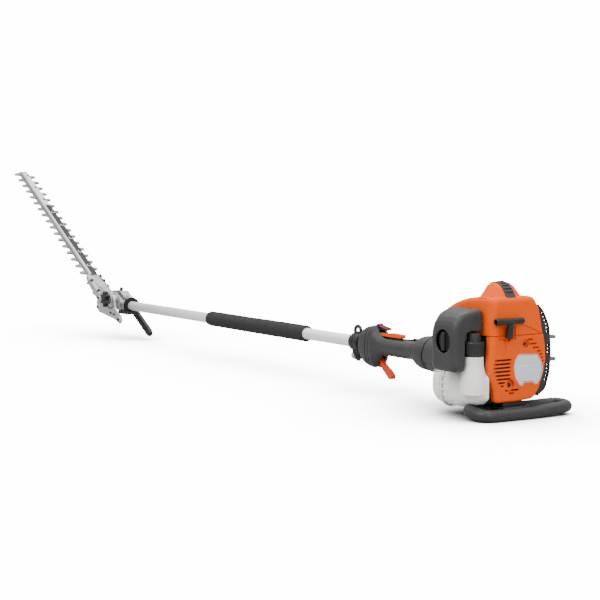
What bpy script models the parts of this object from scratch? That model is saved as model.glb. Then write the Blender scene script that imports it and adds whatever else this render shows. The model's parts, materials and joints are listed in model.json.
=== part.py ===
# Pole hedge trimmer: a petrol power head, a straight aluminium pole with a
# throttle handle and a foam fore grip, and a tilting cutter head with two
# reciprocating double-sided blades.
# Frame: +X runs along the pole towards the power head, -Y is the operator's
# left, +Z is up. Z = 0 is the flat underside of the power head's guard.
# All dimensions below are in millimetres and are scaled to metres by MM.
import bpy
import bmesh
import math
from mathutils import Matrix, Vector

MM = 0.001
GAP = 0.3                      # clearance between neighbouring pieces

# ---- pole -------------------------------------------------------------
AXIS_Z = 91.0                  # height of the pole and of the crank axis
TUBE_R = 12.2
TUBE_WALL = 1.6
TUBE_FRONT = -1552.0
TUBE_REAR = -221.0
SHAFT_R = 4.0
GRIP_FRONT = -1066.0
GRIP_REAR = -633.0
GRIP_R = 17.6
# ---- throttle handle --------------------------------------------------
HANDLE_FRONT = -416.0
HANDLE_REAR = -245.0
HANDLE_R = 18.0
TRIGGER_PIVOT = (-366.0, 0.0, 61.0)
LOCKOUT_PIVOT = (-357.0, 0.0, 114.0)
# ---- power head -------------------------------------------------------
FACE_X = 50.0                  # starter face
SPLIT_X = 34.0                 # crankcase bell to starter housing
CYL_X = -30.0                  # cylinder axis
CRANK_THROW = 9.0
ROD_LENGTH = 44.0
BORE_R = 17.0
SEAM_Z = 146.0                 # starter housing to cylinder cover
CAP_X, CAP_Y = 25.0, -77.0     # fuel cap axis
KNOB_X, KNOB_Z = -3.0, 138.0   # air filter cover knob axis
GUARD_R = 10.75
# ---- cutter head ------------------------------------------------------
PIVOT = (-1588.0, 0.0, 106.0)
TILT = math.radians(29.3)
BLADE_B = -46.2                # blade plane below the pivot
BLADE_START = 70.0
BLADE_TIP = 801.0
TOOTH_PITCH = 36.2
TOOTH_COUNT = 17
TOOTH_FIRST = 208.0


for old in list(bpy.data.objects):
    bpy.data.objects.remove(old, do_unlink=True)
for block in list(bpy.data.collections):
    bpy.data.collections.remove(block)

PARTS = bpy.data.collections.new("pole_hedge_trimmer")
CUTTERS = bpy.data.collections.new("cutters")
bpy.context.scene.collection.children.link(PARTS)
bpy.context.scene.collection.children.link(CUTTERS)


def material(name, colour, roughness, metallic=0.0):
    m = bpy.data.materials.new(name)
    m.use_nodes = True
    b = m.node_tree.nodes["Principled BSDF"]
    b.inputs["Base Color"].default_value = (*colour, 1.0)
    b.inputs["Roughness"].default_value = roughness
    b.inputs["Metallic"].default_value = metallic
    return m


ORANGE = material("orange_plastic", (1.0, 0.14, 0.01), 0.35)
RED = material("red_plastic", (0.8, 0.07, 0.02), 0.4)
DARK = material("dark_grey_plastic", (0.065, 0.065, 0.067), 0.5)
BLACK = material("black_plastic", (0.015, 0.015, 0.016), 0.45)
FOAM = material("foam", (0.05, 0.05, 0.052), 0.9)
RUBBER = material("rubber", (0.02, 0.02, 0.02), 0.8)
TANK = material("tank_plastic", (0.82, 0.81, 0.76), 0.35)
LABEL = material("label", (0.6, 0.62, 0.64), 0.4)
ALU = material("aluminium", (0.8, 0.81, 0.82), 0.3, 1.0)
CAST = material("cast_aluminium", (0.7, 0.7, 0.7), 0.5, 1.0)
STEEL = material("steel", (0.55, 0.55, 0.56), 0.3, 1.0)
BRASS = material("brass", (0.7, 0.5, 0.2), 0.35, 1.0)
PAPER = material("filter_felt", (0.75, 0.7, 0.55), 0.9)
CERAMIC = material("ceramic", (0.85, 0.85, 0.85), 0.25)


# ---- mesh helpers -----------------------------------------------------
def scaled(bm):
    bmesh.ops.scale(bm, vec=(MM, MM, MM), verts=bm.verts)
    bmesh.ops.recalc_face_normals(bm, faces=bm.faces)
    return bm


def to_object(bm, name, mat, coll, matrix=None, angle=35):
    """Write a millimetre bmesh as a metre object, placed by matrix."""
    scaled(bm)
    me = bpy.data.meshes.new(name)
    bm.to_mesh(me)
    bm.free()
    ob = bpy.data.objects.new(name, me)
    coll.objects.link(ob)
    if matrix is not None:
        m = matrix.copy()
        m.translation = m.translation * MM
        ob.matrix_world = m
    if mat:
        me.materials.append(mat)
    me.shade_smooth()
    me.set_sharp_from_angle(angle=math.radians(angle))
    return ob


def part(bm, name, mat, matrix=None, angle=35):
    return to_object(bm, name, mat, PARTS, matrix, angle)


def at(x, y, z):
    return Matrix.Translation((x, y, z))


def shifted(bm, x, y, z):
    """Move a mesh so that the point (x, y, z) becomes its own origin."""
    bmesh.ops.translate(bm, vec=(-x, -y, -z), verts=bm.verts)
    return bm


def boolean(ob, bm, op="DIFFERENCE", matrix=None):
    """Cut or join with a hidden guide solid."""
    c = to_object(bm, ob.name + "_guide", None, CUTTERS,
                  ob_matrix_mm(ob) if matrix is None else matrix)
    c.hide_render = True
    c.display_type = "WIRE"
    m = ob.modifiers.new(op.lower(), "BOOLEAN")
    m.operation = op
    m.object = c
    m.solver = "EXACT"
    return c


def ob_matrix_mm(ob):
    m = ob.matrix_world.copy()
    m.translation = m.translation / MM
    return m


def bevel(ob, width, segments=2, angle=40):
    b = ob.modifiers.new("bevel", "BEVEL")
    b.width = width * MM
    b.segments = segments
    b.limit_method = "ANGLE"
    b.angle_limit = math.radians(angle)
    b.use_clamp_overlap = True
    return b


def box(x0, x1, y0, y1, z0, z1, bev=0.0, seg=2):
    bm = bmesh.new()
    bmesh.ops.create_cube(bm, size=1.0)
    bmesh.ops.scale(bm, vec=(x1 - x0, y1 - y0, z1 - z0), verts=bm.verts)
    bmesh.ops.translate(bm, vec=((x0 + x1) / 2, (y0 + y1) / 2, (z0 + z1) / 2),
                        verts=bm.verts)
    if bev:
        bmesh.ops.bevel(bm, geom=bm.edges[:], offset=bev, segments=seg,
                        profile=0.5, affect="EDGES", clamp_overlap=True)
    return bm


def cyl(p0, p1, r0, r1=None, seg=24):
    """Cylinder or cone between two points."""
    r1 = r0 if r1 is None else r1
    p0, p1 = Vector(p0), Vector(p1)
    d = p1 - p0
    m = Matrix.Translation((p0 + p1) / 2) @ d.to_track_quat("Z", "Y").to_matrix().to_4x4()
    bm = bmesh.new()
    bmesh.ops.create_cone(bm, cap_ends=True, segments=seg, radius1=r0, radius2=r1,
                          depth=d.length, matrix=m)
    return bm


def merged(*bms):
    """Put several bmeshes into one, as separate shells."""
    out = bmesh.new()
    for bm in bms:
        me = bpy.data.meshes.new("tmp")
        bm.to_mesh(me)
        bm.free()
        out.from_mesh(me)
        bpy.data.meshes.remove(me)
    return out


def moved(bm, matrix):
    bmesh.ops.transform(bm, matrix=matrix, verts=bm.verts)
    return bm


def baked(ob):
    """The evaluated mesh of an object as a millimetre bmesh; the object goes."""
    dg = bpy.context.evaluated_depsgraph_get()
    me = bpy.data.meshes.new_from_object(ob.evaluated_get(dg))
    me.transform(ob.matrix_world)
    bm = bmesh.new()
    bm.from_mesh(me)
    bpy.data.meshes.remove(me)
    bpy.data.objects.remove(ob, do_unlink=True)
    bmesh.ops.remove_doubles(bm, verts=bm.verts, dist=1e-6)
    bmesh.ops.recalc_face_normals(bm, faces=bm.faces)
    bmesh.ops.scale(bm, vec=(1 / MM, 1 / MM, 1 / MM), verts=bm.verts)
    return bm


def turned(profile, origin=(0, 0, 0), axis=(0, 0, 1), seg=24, closed=True):
    """Turn a profile of (height, radius) pairs about an axis with a Screw.

    A closed profile makes a ring; an open one starts and ends on the axis."""
    bm = bmesh.new()
    vs = [bm.verts.new((r * MM, 0, h * MM)) for h, r in profile]
    for a, b in zip(vs, vs[1:]):
        bm.edges.new((a, b))
    if closed:
        bm.edges.new((vs[-1], vs[0]))
    me = bpy.data.meshes.new("profile")
    bm.to_mesh(me)
    bm.free()
    ob = bpy.data.objects.new("profile", me)
    bpy.context.scene.collection.objects.link(ob)
    s = ob.modifiers.new("screw", "SCREW")
    s.axis = "Z"
    s.angle = 2 * math.pi
    s.steps = seg
    s.render_steps = seg
    s.use_merge_vertices = True
    s.merge_threshold = 1e-6
    z = Vector(axis).normalized()
    m = z.to_track_quat("Z", "Y").to_matrix().to_4x4()
    m.translation = Vector(origin) * MM
    ob.matrix_world = m
    bpy.context.view_layer.update()
    return baked(ob)


def fillet(points, radii, n=3):
    """Round the corners of a closed outline; radii is one number or a list."""
    out = []
    k = len(points)
    for i in range(k):
        r = radii[i] if isinstance(radii, (list, tuple)) else radii
        p0, p, p1 = (Vector(points[i - 1]), Vector(points[i]),
                     Vector(points[(i + 1) % k]))
        if r <= 0:
            out.append((p.x, p.y))
            continue
        a, b = (p0 - p), (p1 - p)
        la, lb = a.length, b.length
        a.normalize()
        b.normalize()
        ang = math.acos(max(-1, min(1, a.dot(b))))
        t = min(r / math.tan(ang / 2), la * 0.48, lb * 0.48)
        s, e = p + a * t, p + b * t
        for j in range(n + 1):
            u = j / n
            q = s * (1 - u) ** 2 + p * 2 * u * (1 - u) + e * u ** 2
            out.append((q.x, q.y))
    return out


def prism(outline, lo, hi, plane="YZ"):
    """Extrude a closed outline between lo and hi along the plane's normal."""
    bm = bmesh.new()
    put = {"YZ": lambda a, b: (lo, a, b), "XZ": lambda a, b: (a, lo, b),
           "XY": lambda a, b: (a, b, lo)}[plane]
    step = {"YZ": (hi - lo, 0, 0), "XZ": (0, hi - lo, 0), "XY": (0, 0, hi - lo)}[plane]
    vs = [bm.verts.new(put(*p)) for p in outline]
    face = bm.faces.new(vs)
    out = bmesh.ops.extrude_face_region(bm, geom=[face])
    bmesh.ops.translate(bm, vec=step,
                        verts=[g for g in out["geom"] if isinstance(g, bmesh.types.BMVert)])
    bmesh.ops.recalc_face_normals(bm, faces=bm.faces)
    return bm


def loft(sections):
    """Skin a list of point loops of equal length and cap both ends."""
    bm = bmesh.new()
    loops = [[bm.verts.new(p) for p in s] for s in sections]
    n = len(loops[0])
    for a, b in zip(loops, loops[1:]):
        for i in range(n):
            j = (i + 1) % n
            bm.faces.new((a[i], a[j], b[j], b[i]))
    bm.faces.new(loops[0][::-1])
    bm.faces.new(loops[-1])
    bmesh.ops.recalc_face_normals(bm, faces=bm.faces)
    return bm


def ring_yz(x, cy, cz, hy, hz, n=24, power=2.0):
    """A superellipse loop in the plane X = x."""
    out = []
    for i in range(n):
        a = 2 * math.pi * i / n
        c, s = math.cos(a), math.sin(a)
        out.append((x, cy + hy * math.copysign(abs(c) ** (2 / power), c),
                    cz + hz * math.copysign(abs(s) ** (2 / power), s)))
    return out


def tube_x(x0, x1, r_out, r_in, seg=24, round_end=0.0):
    """A ring along the pole axis, with optionally rounded outer ends."""
    if round_end:
        k = round_end
        prof = [(x0, r_in), (x0, r_out - k), (x0 + 0.3 * k, r_out - 0.3 * k),
                (x0 + k, r_out), (x1 - k, r_out), (x1 - 0.3 * k, r_out - 0.3 * k),
                (x1, r_out - k), (x1, r_in)]
    else:
        prof = [(x0, r_in), (x0, r_out), (x1, r_out), (x1, r_in)]
    return turned(prof, (0, 0, AXIS_Z), (1, 0, 0), seg)


def turned_x(profile, seg=24, closed=True, y=0.0, z=AXIS_Z):
    return turned(profile, (0, y, z), (1, 0, 0), seg, closed)


def wire(points, radius, name, mat, resolution=2, cyclic=False, bezier=False):
    """A round wire through points, as a mesh."""
    cu = bpy.data.curves.new(name, "CURVE")
    cu.dimensions = "3D"
    cu.bevel_depth = radius * MM
    cu.bevel_resolution = resolution
    cu.render_resolution_u = 0
    cu.use_fill_caps = True
    sp = cu.splines.new("POLY")
    sp.points.add(len(points) - 1)
    for q, p in zip(sp.points, points):
        q.co = (p[0] * MM, p[1] * MM, p[2] * MM, 1.0)
    sp.use_cyclic_u = cyclic
    ob = bpy.data.objects.new(name + "_curve", cu)
    bpy.context.scene.collection.objects.link(ob)
    bpy.context.view_layer.update()
    return baked(ob)


# =======================================================================
# 1. Pole, drive shaft, bushes, fore grip, harness clamp
# =======================================================================
part(tube_x(TUBE_FRONT, TUBE_REAR, TUBE_R, TUBE_R - TUBE_WALL, 28), "pole_tube", ALU)

SHAFT_FRONT = -1556.0
SHAFT_REAR = -206.0
part(cyl((SHAFT_FRONT, 0, AXIS_Z), (SHAFT_REAR, 0, AXIS_Z), SHAFT_R, seg=12),
     "drive_shaft", STEEL)

for bush, x in (("shaft_bush_front", -1180.0), ("shaft_bush_rear", -560.0)):
    part(tube_x(x, x + 24, TUBE_R - TUBE_WALL - GAP, SHAFT_R + 0.35, 16), bush, RUBBER)

part(tube_x(GRIP_FRONT, GRIP_REAR, GRIP_R, TUBE_R + GAP, 24, round_end=4.0),
     "fore_grip", FOAM)

# clamp ring around the pole, a bolt boss below it and the harness eye above
clamp = part(tube_x(-449, -420, 19.0, TUBE_R + GAP, 24, round_end=2.0),
             "harness_clamp", BLACK)
boss = fillet([(-448, 74), (-424, 74), (-427, 56), (-447, 56)], 4)
boolean(clamp, prism(boss, -9, 9, "XZ"), "UNION")
post = fillet([(-448, 106), (-432, 106), (-434, 111), (-446, 111)], 2)
boolean(clamp, prism(post, -4, 4, "XZ"), "UNION")
eye = wire([(-440 + 9.2 * math.cos(2 * math.pi * i / 18), 0,
             113.6 + 9.2 * math.sin(2 * math.pi * i / 18)) for i in range(18)],
           3.0, "eye", BLACK, cyclic=True)
boolean(clamp, eye, "UNION")
boolean(clamp, cyl((-460, 0, AXIS_Z), (-410, 0, AXIS_Z), TUBE_R + GAP + 0.15, seg=24))
boolean(clamp, cyl((-437, -20, 64.5), (-437, 20, 64.5), 3.4, seg=12))
boolean(clamp, box(-455, -415, -1.2, 1.2, 45, 85))

screw = part(cyl((-437, -15, 64.5), (-437, 12, 64.5), 3.0, seg=12), "clamp_screw", STEEL)
boolean(screw, cyl((-437, -15, 64.5), (-437, -9.4, 64.5), 6.0, seg=6), "UNION")

# =======================================================================
# 2. Throttle handle: two shells, trigger, lockout, stop switch, cable
# =======================================================================
shell_sections = [
    (HANDLE_FRONT, 91.0, 17.0, 17.5, 2.0), (-408.0, 91.0, 19.0, 24.0, 2.0),
    (-396.0, 90.0, 20.5, 32.0, 2.1), (-382.0, 89.5, 21.5, 39.0, 2.2),
    (-370.0, 89.0, 22.0, 42.5, 2.3), (-362.0, 89.0, 22.0, 42.5, 2.3),
    (-356.0, 89.0, 21.0, 40.0, 2.3), (-350.0, 90.0, 19.5, 30.0, 2.2),
    (-344.0, 91.0, 18.4, 20.5, 2.0), (-340.0, 91.0, HANDLE_R, HANDLE_R, 2.0),
    (-296.0, 91.0, HANDLE_R - 0.6, HANDLE_R - 0.6, 2.0),
    (HANDLE_REAR, 91.0, HANDLE_R, HANDLE_R, 2.0),
]
for side, y0, y1 in (("left", -60.0, -0.15), ("right", 0.15, 60.0)):
    h = part(loft([ring_yz(x, 0, cz, hy, hz, 28, pw)
                   for x, cz, hy, hz, pw in shell_sections]),
             "throttle_housing_" + side, DARK)
    boolean(h, cyl((-430, 0, AXIS_Z), (-230, 0, AXIS_Z), TUBE_R + GAP, seg=24))
    # pocket behind the trigger, open downwards and to the rear
    boolean(h, box(-392, -345, -6.0, 6.0, 40, 74, 1.0, 1))
    # channel for the lockout lever along the top of the grip
    boolean(h, box(-366, -279, -7.5, 7.5, 105.5, 121.5, 1.0, 1))
    # slot for the stop switch in the top of the shell
    boolean(h, box(-381, -335, -7.0, 7.0, 122.4, 140, 1.0, 1))
    # groove for the control cable on the right of the lever
    boolean(h, box(-356, -332, 5.0, 12.6, 107.8, 116.4))
    boolean(h, box(-430, -230, y0, y1, 40, 140), "INTERSECT")

tx, _, tz = TRIGGER_PIVOT
trigger_outline = fillet([(tx - 9, tz - 3), (tx - 7, tz + 8), (tx + 7, tz + 8),
                          (tx + 12, tz - 1), (tx + 30, tz - 12), (tx + 50, tz - 24),
                          (tx + 51, tz - 31), (tx + 44, tz - 34), (tx + 28, tz - 24),
                          (tx + 12, tz - 13), (tx - 2, tz - 11)], 5, 2)
trig = part(shifted(prism(trigger_outline, -5, 5, "XZ"), *TRIGGER_PIVOT),
            "throttle_trigger", RED, at(*TRIGGER_PIVOT))
boolean(trig, shifted(cyl((tx, -9, tz), (tx, 9, tz), 2.7, seg=12), *TRIGGER_PIVOT))
bevel(trig, 1.6, 1)
part(cyl((tx, -5.7, tz), (tx, 5.7, tz), 2.3, seg=12), "trigger_pin", STEEL)

lx, _, lz = LOCKOUT_PIVOT
lock_outline = fillet([(lx - 6, lz - 3), (lx - 5, lz + 4), (lx + 8, lz + 4.5),
                       (lx + 30, lz + 4.8), (lx + 72, lz + 4.0), (lx + 74, lz - 1),
                       (lx + 71, lz - 3.0), (lx + 20, lz - 3.2)], 2, 2)
lock = part(shifted(prism(lock_outline, -6, 6, "XZ"), *LOCKOUT_PIVOT),
            "throttle_lockout", ORANGE, at(*LOCKOUT_PIVOT))
bevel(lock, 1.2, 1)

sw = part(prism(fillet([(-375, 123.4), (-375, 129), (-367, 134.5), (-358, 133.5),
                        (-350, 129), (-328, 125.5), (-328, 123.0), (-349, 123.2)],
                       1.2, 2), -5.5, 5.5, "XZ"), "stop_switch", RED)
bevel(sw, 1.0, 1)

cable = [(-351 + 100 * t, 9 + 1.5 * math.sin(math.pi * t),
          111.5 + 1.5 * math.sin(math.pi * t) + 2.5 * t) for t in
         [i / 12 for i in range(13)]]
part(wire(cable, 2.3, "cable", RUBBER), "control_cable", RUBBER)

# =======================================================================
# 3. Clutch cover, anti-vibration ring, clutch housing, drum, shoes
# =======================================================================
part(turned_x([(-244.7, TUBE_R + GAP), (-244.7, 18.3), (-239, 18.8), (-231, 21.5),
               (-222, 26.0), (-214, 29.6), (-206, 31.6), (-198.6, 32.0),
               (-198.6, 28.4), (-213, 24.0), (-219, TUBE_R + GAP)], 24),
     "clutch_cover", DARK)
part(turned_x([(-198.2, 28.5), (-198.2, 31.2), (-194.4, 31.2), (-194.4, 28.5)], 24),
     "av_ring", RUBBER)
part(turned_x([(-194, 28.5), (-194, 32.4), (-180, 33.6), (-165, 34.9), (-140, 37.5),
               (-116, 41.5), (-104.4, 42.5), (-104.4, 37.0), (-120, 34.0),
               (-150, 31.0), (-184, 28.5)], 24), "clutch_housing", DARK)
drum = part(turned_x([(-212, SHAFT_R + GAP), (-212, 8), (-202, 8), (-200, 27),
                      (-170, 27), (-170, 23.0), (-195, 23.0), (-195, SHAFT_R + GAP)],
                     28), "clutch_drum", STEEL)


def arc_outline(r0, r1, a0, a1, n=10):
    pts = []
    for i in range(n + 1):
        a = math.radians(a0 + (a1 - a0) * i / n)
        pts.append((r1 * math.cos(a), AXIS_Z + r1 * math.sin(a)))
    for i in range(n + 1):
        a = math.radians(a1 + (a0 - a1) * i / n)
        pts.append((r0 * math.cos(a), AXIS_Z + r0 * math.sin(a)))
    return pts


for shoe, a0 in (("clutch_shoe_a", 8.0), ("clutch_shoe_b", 188.0)):
    part(prism(arc_outline(11, 22.5, a0, a0 + 164), -192, -174), shoe, CAST)

# =======================================================================
# 4. Crankcase, crank train, cylinder, ignition
# =======================================================================
def face_outline(grow=0.0, top=False):
    """The starter face outline (Y, Z), counter-clockwise from the lower left."""
    g = grow
    lower = [(-50 - g, 30 - g), (0, 29.5 - g), (42 + g, 33 - g), (53 + g, 52),
             (62.5 + g, 78), (67 + g, 101), (64.5 + g, 128), (60 + g, SEAM_Z - 0.15),
             (-57 - g, SEAM_Z - 0.15), (-57.5 - g, 104), (-56 - g, 62)]
    radii = [7, 0, 16, 10, 10, 10, 10, 0, 0, 20, 12]
    return lower, radii


low_pts, low_rad = face_outline()
bell = [(max(-56.5, min(59.5, y)), z if z < 140 else 142.5) for y, z in low_pts]
case = part(prism(fillet(bell, low_rad, 3), 4, SPLIT_X - GAP), "crankcase", BLACK)
boolean(case, cyl((-100, 0, AXIS_Z), (5, 0, AXIS_Z), 37, seg=24), "UNION")
boolean(case, cyl((-104, 0, AXIS_Z), (-99, 0, AXIS_Z), 42, seg=24), "UNION")
boolean(case, box(CYL_X - 31, CYL_X + 31, -31, 31, 100, 129.7), "UNION")
boolean(case, box(-70, 20, -30, 40, 26, 60, 3, 1), "UNION")
boolean(case, cyl((8, 0, AXIS_Z), (40, 0, AXIS_Z), 44, seg=24))
boolean(case, box(9, 40, -17, 17, 110, 150))
boolean(case, cyl((-62, 0, AXIS_Z), (2, 0, AXIS_Z), 29, seg=20))
boolean(case, cyl((-110, 0, AXIS_Z), (12, 0, AXIS_Z), 6.0, seg=16))
boolean(case, cyl((CYL_X, 0, AXIS_Z), (CYL_X, 0, 140), 19.0, seg=16))

crank = part(turned_x([(-190, 0), (-190, 5.5), (-44, 5.5), (-44, 5.6), (-38, 5.6),
                       (-38, 0)], 16, closed=False), "crankshaft", STEEL)
boolean(crank, cyl((-46, 0, AXIS_Z), (-38, 0, AXIS_Z), 25, seg=24), "UNION")
boolean(crank, cyl((-40, 0, AXIS_Z + CRANK_THROW), (-20, 0, AXIS_Z + CRANK_THROW),
                   4.0, seg=12), "UNION")
boolean(crank, cyl((-22, 0, AXIS_Z), (-14, 0, AXIS_Z), 25, seg=24), "UNION")
boolean(crank, cyl((-16, 0, AXIS_Z), (33, 0, AXIS_Z), 5.5, seg=16), "UNION")

PIN_Z = AXIS_Z + CRANK_THROW
PISTON_Z = PIN_Z + ROD_LENGTH
rod = part(cyl((-34, 0, PIN_Z), (-26, 0, PIN_Z), 7.5, seg=20), "con_rod", STEEL)
boolean(rod, box(-33, -27, -3.3, 3.3, PIN_Z + 5, PISTON_Z - 2.8), "UNION")
boolean(rod, cyl((-34, 0, PISTON_Z), (-26, 0, PISTON_Z), 3.9, seg=16), "UNION")
boolean(rod, cyl((-40, 0, PIN_Z), (-20, 0, PIN_Z), 4.4, seg=16))
boolean(rod, cyl((-40, 0, PISTON_Z), (-20, 0, PISTON_Z), 2.0, seg=12))

# the piston has room under its crown for the rod's full circle and stroke
STROKE = 2 * CRANK_THROW
CROWN = PISTON_Z + 4.6 + STROKE
part(turned([(PISTON_Z - 5, 14.0), (PISTON_Z - 5, 16.7), (CROWN + 3.5, 16.7),
             (CROWN + 3.5, 0.0), (CROWN, 0.0), (CROWN, 14.0)],
            (CYL_X, 0, 0), (0, 0, 1), 16), "piston", ALU)

fins = [(130, BORE_R), (130, 26)]
for i in range(7):
    z = 133 + 6.6 * i
    fins += [(z, 26 if i == 0 else 21), (z, 29.5), (z + 2.4, 29.5), (z + 2.4, 21)]
fins += [(183.5, 21), (183.5, 4.6), (173, 4.6), (173, BORE_R)]
part(turned(fins, (CYL_X, 0, 0), (0, 0, 1), 16), "cylinder", CAST)

part(turned([(174, 0), (174, 4.2), (183.9, 4.2), (183.9, 8), (189, 8), (189, 5),
             (198, 4), (198, 0)], (CYL_X, 0, 0), (0, 0, 1), 12, closed=False),
     "spark_plug", CERAMIC)
cap = part(turned([(189.4, 5.4), (189.4, 9), (200, 9), (202.5, 6), (202.5, 0), (198.5, 0),
                   (198.5, 5.4)], (CYL_X, 0, 0), (0, 0, 1), 16), "plug_cap", RUBBER)

fly = part(turned_x([(12, 5.9), (12, 39.5), (20, 39.5), (20, 36), (22, 12), (29, 12),
                     (29, 5.9)], 24), "flywheel", CAST)
for i in range(10):
    a = 2 * math.pi * i / 10
    blade = box(19, 30, -1.3, 1.3, 16, 36)
    moved(blade, Matrix.Translation((0, 0, AXIS_Z)) @ Matrix.Rotation(a, 4, "X"))
    boolean(fly, blade, "UNION")

part(box(13, 27, -13, 13, 132.0, 141.5, 1.5, 1), "ignition_coil", BLACK)

# =======================================================================
# 5. Exhaust side: muffler and its guard
# =======================================================================
muf = part(box(-62, 0, 39.5, 74, 99, 166, 5, 2), "muffler", STEEL)

guard_pts = fillet([(62, 34), (80, 46), (89, 74), (91.5, 104), (90.5, 130), (87, 158),
                    (74, 184), (60.5, 198), (60.5, 34)],
                   [4, 12, 14, 10, 12, 12, 12, 2, 2], 3)
inner_pts = fillet([(59, 39.5), (77, 50.5), (85.5, 76), (88, 104), (87, 129), (83, 156),
                    (71, 179), (59, 191)], [2, 12, 14, 10, 12, 12, 10, 2], 3)
mg = part(prism(guard_pts, -72, 33.4), "muffler_guard", BLACK)
boolean(mg, prism(inner_pts, -69, 30.4))
for z in (58, 70, 82, 104, 118, 146, 160):
    boolean(mg, box(-60, 20, 76, 100, z, z + 5.5))
for z in (97.5, 137.0):
    boolean(mg, box(-50, 31, 86 if z < 120 else 84, 97.5, z - 2, z + 2, 0.8, 1), "UNION")

# =======================================================================
# 6. Intake side: carburettor, air box, filter, cover, knob, choke, primer
# =======================================================================
carb = part(box(-46, -14, -58, -32, 110, 142, 3, 1), "carburettor", CAST)
boolean(carb, cyl((-30, -60, 126), (-30, -30, 126), 7, seg=16))
base = part(box(-76, 28, -63, -60.3, 96, 170, 0), "air_box_base", BLACK)
boolean(base, cyl((-30, -66, 126), (-30, -58, 126), 7, seg=16))
boolean(base, cyl((-65.5, -66, 114), (-65.5, -58, 114), 9.2, seg=20))
boolean(base, box(4, 40, -70, -50, 80, 156))
boolean(base, cyl((KNOB_X, -70, KNOB_Z + 20), (KNOB_X, -50, KNOB_Z + 20), 1.5, seg=8))

filt = part(box(-44, 0, -90, -66, 100, 174, 5, 2), "air_filter", PAPER)


def cover_loop(y, x0, x1, z0, z1, r, n=4):
    return [(x, y, z) for x, z in fillet([(x0, z0), (x1, z0), (x1, z1), (x0, z1)], r, n)]


cover = part(loft([cover_loop(-123.0, -30, 24, 89, 164, 12),
                   cover_loop(-121.0, -35, 28, 86.5, 171, 14),
                   cover_loop(-112.0, -42, 30, 85, 182, 18),
                   cover_loop(-90.0, -50, 30, 85, 190.5, 16),
                   cover_loop(-63.4, -54, 30, 85, 193, 12)]), "air_filter_cover", DARK)
boolean(cover, loft([cover_loop(-119.0, -30, 25, 89, 161, 10),
                     cover_loop(-110.0, -38, 27, 88, 177, 14),
                     cover_loop(-90.0, -47, 27, 88, 187, 14),
                     cover_loop(-58.0, -51, 27, 88, 190, 10)]))
boolean(cover, box(3, 45, -99, -50, 80, 155, 3, 1))
boolean(cover, cyl((KNOB_X, -130, KNOB_Z), (KNOB_X, -113, KNOB_Z), 19.5, seg=20))
boolean(cover, box(-32, 2, -110, -91, 101, 168))

knob = part(shifted(cyl((KNOB_X, -113, KNOB_Z), (KNOB_X, -117.5, KNOB_Z), 18.8, seg=20),
                    KNOB_X, -115, KNOB_Z), "cover_knob", BLACK, at(KNOB_X, -115, KNOB_Z))
boolean(knob, shifted(box(KNOB_X - 4.5, KNOB_X + 4.5, -124.5, -116, KNOB_Z - 17,
                          KNOB_Z + 17, 2, 2), KNOB_X, -115, KNOB_Z), "UNION")
boolean(knob, shifted(cyl((KNOB_X, -114, KNOB_Z), (KNOB_X, -93, KNOB_Z), 5, seg=16),
                      KNOB_X, -115, KNOB_Z), "UNION")

CHOKE = (-65.5, -66.0, 146.0)
choke = part(shifted(cyl((CHOKE[0], -69.0, CHOKE[2]), (CHOKE[0], -63.4, CHOKE[2]), 8,
                         seg=20), *CHOKE), "choke_lever", BLACK, at(*CHOKE))
boolean(choke, shifted(box(CHOKE[0] - 3, CHOKE[0] + 3, -69.0, -65.0, CHOKE[2],
                           CHOKE[2] + 22, 1.2, 1), *CHOKE), "UNION")
part(turned([(-63.4, 0), (-63.4, 8.5), (-66, 8.5), (-70, 6.6), (-72.5, 3.6),
             (-73.2, 0)][::-1], (-65.5, 0, 114), (0, 1, 0), 20, closed=False),
     "purge_bulb", TANK)

# =======================================================================
# 7. Cylinder cover, top strap, starter housing, handle, pulley, label
# =======================================================================
low = part(prism(fillet(low_pts, low_rad, 3), SPLIT_X, FACE_X), "starter_housing", ORANGE)
bevel(low, 2.5, 1, 50)
boolean(low, cyl((SPLIT_X - 2, 0, AXIS_Z), (46, 0, AXIS_Z), 45, seg=24))
boolean(low, cyl((33.8, 0, AXIS_Z), (47, 0, AXIS_Z), 5.0, seg=16), "UNION")
slot_z = [46.0, 54.0, 68.0, 76.0, 84.0, 92.0, 100.0]
for z in slot_z:
    half = math.sqrt(max(0.0, 43.0 ** 2 - (z - AXIS_Z) ** 2))
    boolean(low, box(44, 55, -half, -13 if z > 60 else 4, z - 1.6, z + 1.6))
for i in range(6):
    z = 137 - 7.0 * i
    half = math.sqrt(max(0.0, 64.0 ** 2 - (z - AXIS_Z) ** 2 * 0.9))
    boolean(low, box(44, 55, 24 + 4.6 * i, min(53.0, 36 + 4.6 * i), z - 1.7, z + 1.7))
boolean(low, cyl((45, 19, 131), (55, 19, 131), 7.5, seg=20))
boolean(low, cyl((45, -16, 62), (55, -16, 62), 8.5, seg=20))
boolean(low, box(44.5, 52, -41, -5, 138, 150))
boolean(low, cyl((54, -23, 112), (54, -23, 150), 3.4, seg=12))

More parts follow.
